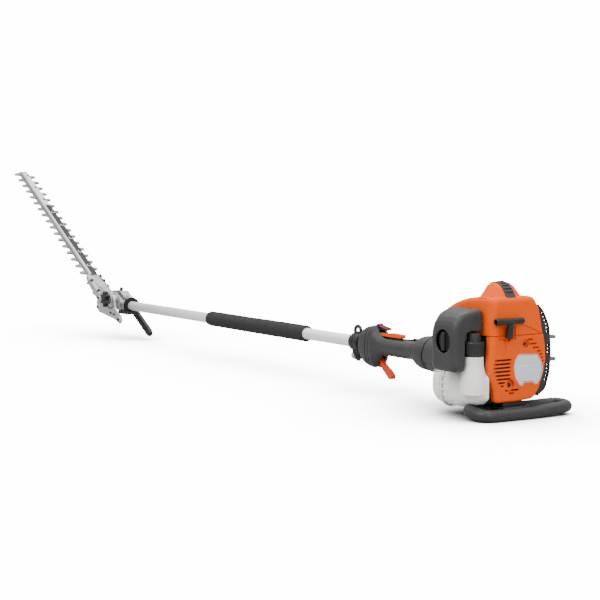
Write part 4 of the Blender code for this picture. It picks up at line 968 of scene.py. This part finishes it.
# ---------------------------------------------------------------- fuel tank
# (x, near y, far y, bottom z, top z, corner radius)
TANK_STATIONS = [
    (-103.5, -52, 26, 48, 72, 10), (-102.0, -61, 34, 40, 78, 14),
    (-98, -70, 40, 31.5, 82.0, 19), (-91, -76.5, 44, 24.0, 84, 24),
    (-81, -80, 46, 18.8, 84, 27), (-66, -81.0, 46, 16.2, 84, 29),
    (-54, -81.0, 46, 15.8, 84, 29), (-42, -80.8, 46, 16.4, 84, 28),
    (-30, -80.8, 46, 16.2, 84, 27), (-20, -80.8, 46, 16.8, 84, 26),
    (-11, -80.8, 45, 18.6, 84, 25), (-3, -80.6, 44, 22.0, 84, 23),
    (18, -80.4, 42, 24.6, 84, 20), (32, -79.6, 40, 28.0, 82, 18),
    (41, -77, 38, 34.5, 79, 15), (46, -73, 34, 40.0, 73.5, 11)]
WELD_X = -60.0                   # weld round the near side of the tank
# (y, z) of the clips across the weld
CLIP_PLACES = [(-78.6, 70), (-82.0, 58), (-82.4, 46), (-80.4, 36), (-75.6, 27),
               (-68, 20.4), (-58, 16.4)]


def tank_section(x, y0, y1, z0, z1, radius):
    loop = fillet([(y0, z0), (y1, z0), (y1, z1), (y0, z1)], radius, 7)
    return [(x, y, z) for y, z in loop]


tank = csg(
    loft([tank_section(*station) for station in TANK_STATIONS]),
    ("+", lathe([(46, 0), (46, 23.5), (58, 23.6), (70, 22.6), (80, 20.9), (88, 19.0),
                 (97, 17.3), (112.3, 17.0), (112.3, 0)], (FILLER_X, FILLER_Y, 0), sides=48)),
    ("-", rod((-110, 0, AXIS), (70, 0, AXIS), 46, sides=48)),
    ("-", box(-74, 70, -58.4, 60, 10, 130)),
    ("-", rod((FILLER_X, FILLER_Y, 96), (FILLER_X, FILLER_Y, 120), 13.5, sides=32)))
piece("tank_body", moulded(tank, 1.4, 7), TANK, replaces=["fuel_tank"], angle=60)

weld_points = [p for p in tank_section(WELD_X, -81.6, 46, 15.4, 84.2, 29) if p[1] < -36]
weld_points.sort(key=lambda p: -(math.atan2(p[2] - 50, p[1] + 40) % (2 * math.pi)))
weld_path = resampled(weld_points, 40)
piece("tank_weld", sweep(weld_path, 2.7, 12), TANK)
# Dark lines on both sides of the weld paint the shade of the grooves beside it
piece("tank_weld_painted_shade", merged(*[
    sweep([(x, y, z) for _, y, z in weld_path], 1.5, 8)
    for x in (WELD_X - 3.4, WELD_X + 3.4)]), TANK_PAINTED_SHADE)
piece("tank_clips", boxes(*[(-71, -49, y - 1.4, y + 2.2, z - 1.7, z + 1.7, 1.1, 2)
                            for y, z in CLIP_PLACES]), TANK)
piece("tank_hose", sweep([(-6, -66, 84), (-8, -67, 90), (-14, -68, 95), (-24, -66, 97)],
                         2.4, 12), RUBBER)

# ---------------------------------------------------------------- muffler guard
# (y, z) of the outer and inner faces, bottom to top
GUARD_OUTER = [(60.5, 34), (62, 34), (80, 46), (89, 74), (91.5, 104), (90.5, 130),
               (87, 158), (74, 184), (60.5, 198)]
GUARD_INNER = [(58, 39), (77, 50.5), (85.8, 76), (88.4, 104), (87.4, 129), (83.8, 156),
               (71.5, 179), (58, 191)]
# bottom z of the slots
GUARD_SLOTS = (145.5, 152.0, 158.5, 165.0, 171.5, 178.0, 60.0, 66.5, 73.0, 79.5, 86.0,
               108.0, 114.5, 121.0)


def guard_edge(height):
    """y of the outer face at a height."""
    for (y0, z0), (y1, z1) in zip(GUARD_OUTER[1:], GUARD_OUTER[2:]):
        if height <= z1:
            return y0 + (y1 - y0) * (height - z0) / (z1 - z0)


guard_cuts = []
for z in GUARD_SLOTS:
    edge = guard_edge(z + 1.7)
    guard_cuts.append(("-", box(-60, 27.5, edge - 7.5, edge + 9, z, z + 3.4)))
    guard_cuts.append(("-", box(20, 40, edge - 8.0, edge - 2.3, z, z + 3.4)))
heat_guard = csg(
    prism(fillet(GUARD_OUTER, [1, 5, 14, 16, 12, 14, 14, 14, 2], 7), -72, 33.4),
    ("-", prism(fillet(GUARD_INNER, [2, 12, 14, 10, 12, 12, 12, 2], 7), -69, 30.4)),
    *guard_cuts,
    ("+", box(-50, 31, 87, 97.5, 95.5, 99.5, 1.2, 2)),
    ("+", box(-50, 31, 85, 97.0, 135.0, 139.0, 1.2, 2)))
piece("heat_guard", heat_guard, BLACK, replaces=["muffler_guard"], bevel=0.6, angle=35)
piece("guard_rib", boxes((-10, 34.0, 89.5, 103.5, 94.2, 100.8, 1.6, 2),
                         (-10, 34.0, 87.5, 103.0, 133.8, 140.2, 1.6, 2)), GREY)


# ---------------------------------------------------------------- ground guard
def ground_height(x, y):
    """Height of the loop, rising to the far end and at the near -X corner."""
    z = 10.0
    if y > 20:
        z += 5.0 * (y - 20) / 100.0
    if y < -20:
        z += 5.0 * min(1.0, (-20 - y) / 45.0) * max(0.0, min(1.0, (58 - x) / 38.0))
    return z


guard_path = fillet([(54, -77), (58, 22), (57, 116), (18, 120), (-2, 30), (2, -77)],
                    [22, 60, 24, 24, 60, 22], 12)
ground_guard = csg(
    sweep([(x, y, ground_height(x, y)) for x, y in guard_path], 10.7, 28, cyclic=True),
    ("+", prism(fillet([(-30, 21.6), (-24, 16.4), (46, 16.4), (50, 21.6)], 0.5, 2), -28, 30,
                "XZ")),
    ("+", box(-12, 12, -12, 12, -4, 19, 2.5, 3)),
    ("-", box(-100, 120, -130, 180, -30, 0.0)))
piece("ground_guard", moulded(ground_guard, 1.2, 4, 0.45), DARK, replaces=["engine_guard"],
      angle=50)
piece("guard_mounts", boxes((14, 30, -20, -6, 21.0, 31, 1.5, 2),
                            (14, 30, 8, 22, 21.0, 31, 1.5, 2),
                            (36, 44, -26, 26, 20.5, 29.4, 2, 2)), BLACK)

# ---------------------------------------------------------------- cutter head, fixed side
PIVOT = Vector((-1588.0, 0.0, 106.0))
TILT = math.radians(29.3)

piece("collar", lathe_x([
    (-1519.4, 12.5), (-1519.4, 20.6), (-1518.4, 22.2), (-1516.4, 22.8), (-1514.2, 22.8),
    (-1512.4, 22.0), (-1511.5, 20.4), (-1511.5, 12.5)]), RUBBER, replaces=["collar_ring"])
neck = csg(
    lathe_x([(-1577, 0), (-1576, 16.0), (-1556, 16.8), (-1552, 17.8), (-1534, 17.9),
             (-1526, 17.8), (-1519.2, 17.3), (-1519.8, 16.6), (-1519.8, 0)]),
    ("+", rod((PIVOT.x, -15.7, PIVOT.z), (PIVOT.x, 15.7, PIVOT.z), 16.2, sides=48)),
    ("+", prism(fillet([(-1553, 107.5), (-1571, 117.5), (PIVOT.x + 3, 121.4),
                        (PIVOT.x - 3, 91), (-1573, 76.5), (-1553, 76)], 2, 4),
                -15.4, 15.4, "XZ")),
    ("+", rod((PIVOT.x, -23.0, PIVOT.z), (PIVOT.x, 18.6, PIVOT.z), 12, sides=40)),
    ("-", rod((-1575, 0, AXIS), (-1500, 0, AXIS), 12.6, sides=40)),
    ("-", rod((PIVOT.x, -40, PIVOT.z), (PIVOT.x, 40, PIVOT.z), 5.4, sides=24)),
    ("-", box(-1549, -1533, -20, -17.1, 83, 97, 1, 1)))
piece("neck_casting", moulded(neck, 0.8, 3), CAST, replaces=["neck_housing"], angle=50)
piece("neck_bolts", bolts(((-1534, -8, 106.2), (0, -0.45, 0.9), 2.6, 2.2, 0.8),
                          ((-1548, -8, 106.4), (0, -0.45, 0.9), 2.6, 2.2, 0.8),
                          ((-1541, -6, 74.6), (0, -0.35, -0.94), 2.8, 2.6, 0.8),
                          ((-1527, -6, 74.4), (0, -0.35, -0.94), 2.8, 2.6, 0.8)),
      BOLT, angle=30)
piece("neck_lug", moulded(csg(
    box(-1552, -1523, -10, 12, 66.5, 78, 4, 3),
    ("-", box(-1560, -1515, -0.9, 0.9, 60, 78))), 0.8, 3), CAST)
# A dark grey plate in the flat on the neck's near side paints the shade that side takes
piece("neck_facet_painted_shade", box(-1552, -1533.5, -18.5, -16.8, 84.5, 97, 0.8, 2), GREY)
piece("under_plate", boxes((-1566, -1508, -16.5, 16.5, 67.5, 77.5, 2.4, 3),
                           (-1560, -1512, -13.5, 13.5, 74.0, 92.0, 2.0, 2)), BLACK)
piece("neck_seam", lathe_x([(-1531.2, 17.6), (-1531.2, 18.15), (-1530.2, 18.15),
                            (-1530.2, 17.6)], 48), GREY)

latch = csg(
    prism(fillet([(-1545, 110.4), (-1545, 116.5), (-1553, 117.5), (-1570, 127.8),
                  (-1612, 127.8), (-1614, 123.4), (-1572, 123.2), (-1557, 114.6)], 1.5, 4),
          -8, 8, "XZ"),
    ("-", box(-1612, -1588, -3.2, 3.2, 118, 132, 2, 2)),
    ("-", rod((-1560, -12, 118.8), (-1560, 12, 118.8), 1.6, sides=16)))
piece("latch_plate", moulded(latch, 0.6, 2), CAST, body="tilt_latch",
      replaces=["lock_lever"], angle=45)
latch_ball = bmesh.new()
bmesh.ops.create_uvsphere(latch_ball, u_segments=24, v_segments=12, radius=5.0)
bmesh.ops.translate(latch_ball, vec=(-1578, 0, 133.0), verts=latch_ball.verts)
piece("latch_ball", merged(latch_ball, rod((-1578, 0, 127), (-1578, 0, 131), 2.6, sides=20)),
      BLACK, body="tilt_latch")
piece("latch_arm", sweep([(-1582, -8.6, 126.6), (-1570, -8.6, 125.4), (-1560, -8.6, 118.8),
                          (-1552, -8.6, 115.6)], 1.5, 10), BOLT, body="tilt_latch")

# ---------------------------------------------------------------- cutter head, tilting side
# The head's own frame stands on the pivot: x forward along the blades (world -X, tilted
# up), y to the near side, z up.
HEAD = Matrix(((-math.cos(TILT), 0, math.sin(TILT), PIVOT.x), (0, -1, 0, 0.0),
               (math.sin(TILT), 0, math.cos(TILT), PIVOT.z), (0, 0, 0, 1)))

# (x, top z, bottom z, half width, flange half width, flange top z, flange bottom z)
CASE_STATIONS = [
    (42, -22.5, -62.5, 14.6, 15.6, -40, -54), (50, -19.0, -62.5, 15.0, 16.4, -38, -57),
    (60, -17.5, -62.2, 15.4, 17.6, -37, -58), (76, -19.6, -61.4, 15.6, 22.2, -37, -59.2),
    (104, -24.0, -59.6, 15.4, 22.4, -37.6, -58), (132, -27.2, -58.0, 14.6, 22.2, -38, -56.4),
    (160, -31.0, -55.8, 13.6, 21.8, -38.6, -53.8), (176, -35.4, -53.4, 12.8, 21.0, -39, -52),
    (185.5, -39.8, -51.2, 12.0, 19.6, -39.8, -50.8)]


def head_piece(name, mesh, material, body="cutter_head", **options):
    """A piece drawn in the head's own frame."""
    return piece(name, mesh, material, body=body, matrix=HEAD, **options)


def case_section(x, top, bottom, half, flange, flange_top, flange_bottom):
    points = [(-flange, flange_top), (-half, flange_top + 3.0), (-half * 0.62, top - 2.0),
              (0, top), (half * 0.62, top - 2.0), (half, flange_top + 3.0),
              (flange, flange_top), (flange, flange_bottom), (half, bottom + 1.5),
              (0, bottom), (-half, bottom + 1.5), (-flange, flange_bottom)]
    return [(x, y, z) for y, z in fillet(points[::-1], 1.6, 3)]


case = csg(
    loft([case_section(*station) for station in CASE_STATIONS]),
    ("+", prism(fillet([(17, 14), (66, -20), (98, -38), (98, -54), (62, -57), (24, -40),
                        (-14, -20), (-36, -17), (-36, -2), (-14, 14)],
                       [12, 8, 4, 4, 8, 10, 8, 6, 6, 12], 5), -28.0, -19.0, "XZ")),
    ("-", rod((0, -40, 0), (0, 40, 0), 5.0, sides=24)),
    ("-", box(58, 198, -16.8, 16.8, -49.8, -40.1)),
    ("-", rod((100, 0, -56.8), (100, 0, -45), 17.0, sides=40)))
head_piece("head_casting", moulded(case, 0.8, 3, 0.45), CAST, replaces=["gear_case"],
           angle=50)
for k, (x, y) in enumerate(((172, -17.5), (147, -18.0), (118, -18.5), (150, 18.5),
                            (96, 18.8))):
    head_piece("case_boss_%d" % k, lathe([(-1.0, 0), (-1.0, 5.6), (2.2, 5.0), (3.0, 4.4),
                                          (3.0, 0)], (x, y, -38.4), sides=28), GREY)
    head_piece("case_bolt_%d" % k, bolt((x, y, -35.6), (0, 0, 1), 3.1, 3.6, 0.8), BOLT,
               angle=30)
for k, place in enumerate(((166, 19.5, -53.6), (118, 19.8, -56.8), (82, 19.6, -58.4))):
    head_piece("case_nut_%d" % k, nut(place, 4.4, 3.6, 3.4, 4.0), BOLT, angle=30)
head_piece("case_rib", boxes(*[
    (84 + 22 * i, 86.4 + 22 * i, -15.2, 15.2, -38, -27 - 1.6 * i, 1.0, 2)
    for i in range(4)]), CAST)

# Sector plate on the near side, (x, z)
SECTOR_OUTLINE = fillet([
    (17, 14), (66, -22), (76, -56), (68, -69), (48, -75), (28, -66), (-36, -40),
    (-62, -31), (-80, -30), (-87, -17), (-77, -5), (-60, -8), (-38, -8), (-16, 13)],
    [12, 8, 8, 6, 8, 12, 14, 6, 10, 11, 10, 6, 14, 12], 7)
# (x, z, radius, sides) of the round bosses
SECTOR_BOSSES = [(0, 0, 11.5, 36), (-74, -18, 8.6, 32), (55, -62, 7.0, 28),
                 (64, -38, 6.6, 28)]
sector = csg(
    prism(SECTOR_OUTLINE, 23.6, 30.0, "XZ"),
    ("-", prism(inset(SECTOR_OUTLINE, 4.5), 28.6, 32.0, "XZ")),
    *[("+", rod((x, 23.6, z), (x, 31.0, z), radius, sides=sides))
      for x, z, radius, sides in SECTOR_BOSSES],
    ("-", rod((0, 10, 0), (0, 45, 0), 5.0, sides=24)))
head_piece("sector_casting", moulded(sector, 0.7, 3, 0.45), CAST,
           replaces=["sector_plate"], angle=50)
head_piece("sector_bolts", bolts(((-74, 31.0, -18), (0, 1, 0), 3.4, 2.6, 0.8),
                                 ((55, 31.0, -62), (0, 1, 0), 3.4, 2.6, 0.8),
                                 ((64, 31.0, -38), (0, 1, 0), 3.4, 2.6, 0.8),
                                 ((-40, 29.4, -24), (0, 1, 0), 2.6, 1.8, 0.6),
                                 ((-20, 29.4, -32), (0, 1, 0), 2.6, 1.8, 0.6)),
           BOLT, angle=30)
detents = []
for i in range(9):
    angle = math.radians(196 + 13 * i)
    x, z = 26 * math.cos(angle), 26 * math.sin(angle)
    detents.append(rod((x, 29.2, z), (x, 30.6, z), 2.1, sides=16))
head_piece("sector_detents", merged(*detents), GREY)

# Six-lobed clamp knob
star_outline = []
for i in range(120):
    angle = 2 * math.pi * i / 120
    reach = 16.4 + 5.0 * math.cos(6 * angle)
    star_outline.append((reach * math.cos(angle), reach * math.sin(angle)))
star = csg(
    prism(star_outline, 37.0, 50.0, "XZ"),
    ("+", rod((0, 36.0, 0), (0, 40, 0), 12.5, sides=40)),
    ("+", rod((0, 44, 0), (0, 52.0, 0), 8.6, 7.4, sides=36)),
    ("-", rod((0, 50.4, 0), (0, 54.0, 0), 4.63, sides=27)))
head_piece("star_knob", moulded(star, 0.7, 4), BLACK, body="tilt_knob",
           replaces=["clamp_knob"])

# Adjusting handle: (x, half width, half height)
TILT_HANDLE_STATIONS = [
    (-6, 7.0, 8.0), (-8, 8.6, 9.4), (-14, 9.1, 10.2), (-52, 9.2, 10.6), (-90, 9.2, 10.8),
    (-120, 9.2, 11.0), (-130, 8.8, 10.6), (-137, 7.6, 9.2), (-141, 5.6, 6.8),
    (-143, 2.4, 3.0)]
handle_cuts = []
for i in range(4):
    x = -112 + 21 * i
    handle_cuts.append(("-", rod((x, -10, -27.5), (x - 1, -35.5, -28.5), 5.4, sides=28)))
    handle_cuts.append(("-", rod((x + 10.5, -50, -38.4), (x + 10.5, -20, -38.4), 4.2,
                                 sides=20)))
tilt_handle = csg(loft([oval(x, -38, -25.2, half_y, half_z, 40)
                        for x, half_y, half_z in TILT_HANDLE_STATIONS]), *handle_cuts)
head_piece("tilt_handle", moulded(tilt_handle, 0.8, 4), BLACK, replaces=["adjust_handle"])

# ---------------------------------------------------------------- blades and bar
BLADE_Z = -46.2                  # plane between the two blades
PITCH = 36.2                     # between teeth on one side
FIRST_TOOTH = 208.0
TEETH = 17                       # on the +y side; the -y side has one fewer
# (x from the tooth's middle, distance from the blade's middle)
TOOTH = [(-10.6, 13.6), (-8.2, 15.6), (-6.4, 19.0), (-4.9, 29.2), (-4.0, 30.0), (3.1, 30.0),
         (4.1, 28.8), (5.6, 20.0), (7.6, 16.0), (10.4, 13.6)]


def tooth_row(count, start, side):
    return [(start + PITCH * k + x, side * y) for k in range(count) for x, y in TOOTH]


def blade_outline(tip):
    upper_edge = ([(70.0, -12.6), (70.0, 12.6), (178.0, 12.6), (182.0, 13.6)]
                  + tooth_row(TEETH, FIRST_TOOTH, 1))
    tip_edge = [(tip - 3, 13.6), (tip, 9.0), (tip, -9.0), (tip - 3, -13.6)]
    lower_edge = (tooth_row(TEETH - 1, FIRST_TOOTH + PITCH / 2, -1)[::-1]
                  + [(182.0, -13.6), (178.0, -12.6)])
    return (upper_edge + tip_edge + lower_edge)[::-1]


for name, low, high, tip, body, cad_name in (
        ("cut_upper", 0.3, 2.6, 801.0, "blade_top", "blade_upper"),
        ("cut_lower", -2.6, -0.3, 799.5, "blade_bottom", "blade_lower")):
    blade = head_piece(name, prism(blade_outline(tip), BLADE_Z + low, BLADE_Z + high, "XY"),
                       BLADE, body=body, replaces=[cad_name])
    add_bevel(blade, "grind", 0.8, 50)

head_piece("bar_base", prism(
    fillet([(700, -11), (786, -9), (792, 0), (786, 9), (700, 11), (158, 12), (158, -12)],
           [2, 2, 6, 3, 6, 2, 2], 4), BLADE_Z + 3.0, BLADE_Z + 5.2, "XY"),
    STEEL, replaces=["guide_bar"], bevel=0.3)
# Folded rib on the bar: (y, z above the blades), and (x, width scale)
FOLD = [(3.5, 5.2), (3.7, 8.4), (4.5, 9.4), (7.0, 9.4), (8.0, 8.4), (8.3, 5.2)]
FOLD_STATIONS = [(188, 0.96), (192, 1.0), (600, 0.96), (780, 0.90), (786, 0.8)]
head_piece("bar_fold", loft([
    [(x, y * width + 0.2 * (1 - width), BLADE_Z + z) for y, z in FOLD]
    for x, width in FOLD_STATIONS]), ALU, slot="steel", bevel=0.5)
head_piece("bar_strip", prism(
    fillet([(578, -14.6), (584, -2), (578, 3.0), (188, 3.2), (188, -15.4)],
           [1, 1, 3, 4, 3], 4), BLADE_Z + 5.3, BLADE_Z + 6.6, "XY"), OILED_STEEL_AND_SHADOW, bevel=0.3)
head_piece("bar_light", prism(
    fillet([(780, -10.6), (786, -3), (782, 2.4), (586, 2.8), (586, -13.6)],
           [1, 1, 3, 4, 3], 4), BLADE_Z + 5.3, BLADE_Z + 6.0, "XY"),
    ALU, slot="steel", bevel=0.2)

bolt_places = [(x, -7.6 if x < 584 else -5.4) for x in [236 + 76 * i for i in range(8)]]
# (z above the blades, radius)
WASHER = [(6.2, 0), (6.2, 6.0), (7.4, 5.8), (7.6, 0)]
BOLT_HEAD = [(7.3, 0), (7.3, 3.9), (9.2, 3.7), (9.8, 2.8), (9.8, 1.6), (9.0, 1.5), (9.0, 0)]
for name, profile, material in (("bar_washers", WASHER, ALU), ("bar_bolts", BOLT_HEAD, BOLT)):
    head_piece(name, merged(*[
        lathe([(BLADE_Z + z, radius) for z, radius in profile], (x, y, 0), sides=24)
        for x, y in bolt_places]), material, slot="steel")
head_piece("bar_nuts", merged(*[nut((x, y, BLADE_Z - 2.7), 4.8, 4.0, 2.4, 3.0)
                                for x, y in bolt_places]), BOLT)
# Thin dark slivers under the bar's edge at each tooth paint the shadow the bar casts
slot_places = [FIRST_TOOTH + PITCH * i for i in range(TEETH - 1)]
head_piece("bar_shadow_slots", boxes(*[
    (x - 3.4, x + 3.4, 11.2, 13.0, BLADE_Z + 2.7, BLADE_Z + 3.1) for x in slot_places]),
    OILED_STEEL_AND_SHADOW)

# ---------------------------------------------------------------- stage, in metres
BACKDROP = 15.0                  # brightness of floor and sky as the camera sees them


def floor_material():
    """Glows to the camera, with a painted contact shadow from ambient occlusion darkening it
    near the product; plain grey to all other rays.
    """
    material = bpy.data.materials.new("floor")
    material.use_nodes = True
    tree = material.node_tree
    tree.nodes.remove(tree.nodes["Principled BSDF"])
    seen = add_node(tree, "Emission", {})
    # Ambient occlusion, cubed, paints a contact shadow into the glow
    occlusion = add_node(tree, "AmbientOcclusion", {"Distance": 0.30}, samples=16)
    painted_contact_shadow = add_node(tree, "Math", {0: occlusion.outputs["AO"], 1: 3.0},
                        operation="POWER")
    glow = add_node(tree, "Math", {0: painted_contact_shadow.outputs[0], 1: BACKDROP},
                    operation="MULTIPLY")
    feed(tree, seen, {"Strength": glow.outputs[0]})
    unseen = add_node(tree, "BsdfDiffuse", {"Color": (0.42, 0.42, 0.42, 1)})
    light_path = add_node(tree, "LightPath", {})
    mix = add_node(tree, "MixShader", {0: light_path.outputs["Is Camera Ray"],
                                       1: unseen.outputs[0], 2: seen.outputs[0]})
    feed(tree, tree.nodes["Material Output"], {"Surface": mix.outputs[0]})
    return material


def studio_world():
    """Light that brightens with height; the camera sees an even backdrop."""
    world = bpy.data.worlds.new("studio")
    bpy.context.scene.world = world
    world.use_nodes = True
    tree = world.node_tree
    coordinates = add_node(tree, "TexCoord", {})
    split = add_node(tree, "SeparateXYZ", {0: coordinates.outputs["Generated"]})
    sky = add_node(tree, "MapRange", {"From Min": -0.05, "From Max": 0.9, "To Min": 0.20,
                                      "To Max": 1.8, "Value": split.outputs["Z"]})
    light_path = add_node(tree, "LightPath", {})
    mix = add_node(tree, "Mix", {"B": BACKDROP, "A": sky.outputs["Result"],
                                 "Factor": light_path.outputs["Is Camera Ray"]})
    feed(tree, tree.nodes["Background"], {0: (1.0, 1.0, 1.0, 1), 1: mix.outputs["Result"]})


def area(name, location, target, size, power):
    data = bpy.data.lights.new(name, "AREA")
    data.shape = "RECTANGLE"
    data.size, data.size_y = size
    data.energy = power
    light = bpy.data.objects.new(name, data)
    bpy.context.scene.collection.objects.link(light)
    light.location = location
    aim = Vector(target) - Vector(location)
    light.rotation_euler = aim.to_track_quat("-Z", "Y").to_euler()


def product_camera(location, heading, down, lens):
    """A camera looking along a level heading, tipped down by an angle in degrees."""
    data = bpy.data.cameras.new("camera")
    camera = bpy.data.objects.new("camera", data)
    bpy.context.scene.collection.objects.link(camera)
    data.lens = lens
    data.sensor_width = 36
    data.clip_end = 100
    tip = math.radians(down)
    level = Vector(heading).normalized()
    vertical = Vector((0, 0, 1))
    forward = level * math.cos(tip) - vertical * math.sin(tip)
    up = level * math.sin(tip) + vertical * math.cos(tip)
    pose = Matrix((forward.cross(up), up, -forward)).transposed().to_4x4()
    pose.translation = Vector(location)
    camera.matrix_world = pose
    bpy.context.scene.camera = camera


floor_mesh = bmesh.new()
bmesh.ops.create_grid(floor_mesh, x_segments=1, y_segments=1, size=30.0)
floor = new_object("floor", floor_mesh)
floor.location = (-0.9, 0, -0.0006)
floor.data.materials.append(floor_material())
studio_world()
area("key_left", location=(0.3, -2.6, 2.0), target=(-0.4, 0, 0.1), size=(1.6, 1.2), power=58)
area("top_soft", location=(-0.6, 0.2, 2.8), target=(-0.6, 0, 0.1), size=(3.2, 1.4), power=70)
area("front_soft", location=(2.8, -0.4, 1.3), target=(0, 0, 0.1), size=(1.2, 1.2), power=30)
product_camera(location=(1.883, -1.590, 0.390), heading=(-0.848, 0.5299, 0), down=4.354,
               lens=83.52)
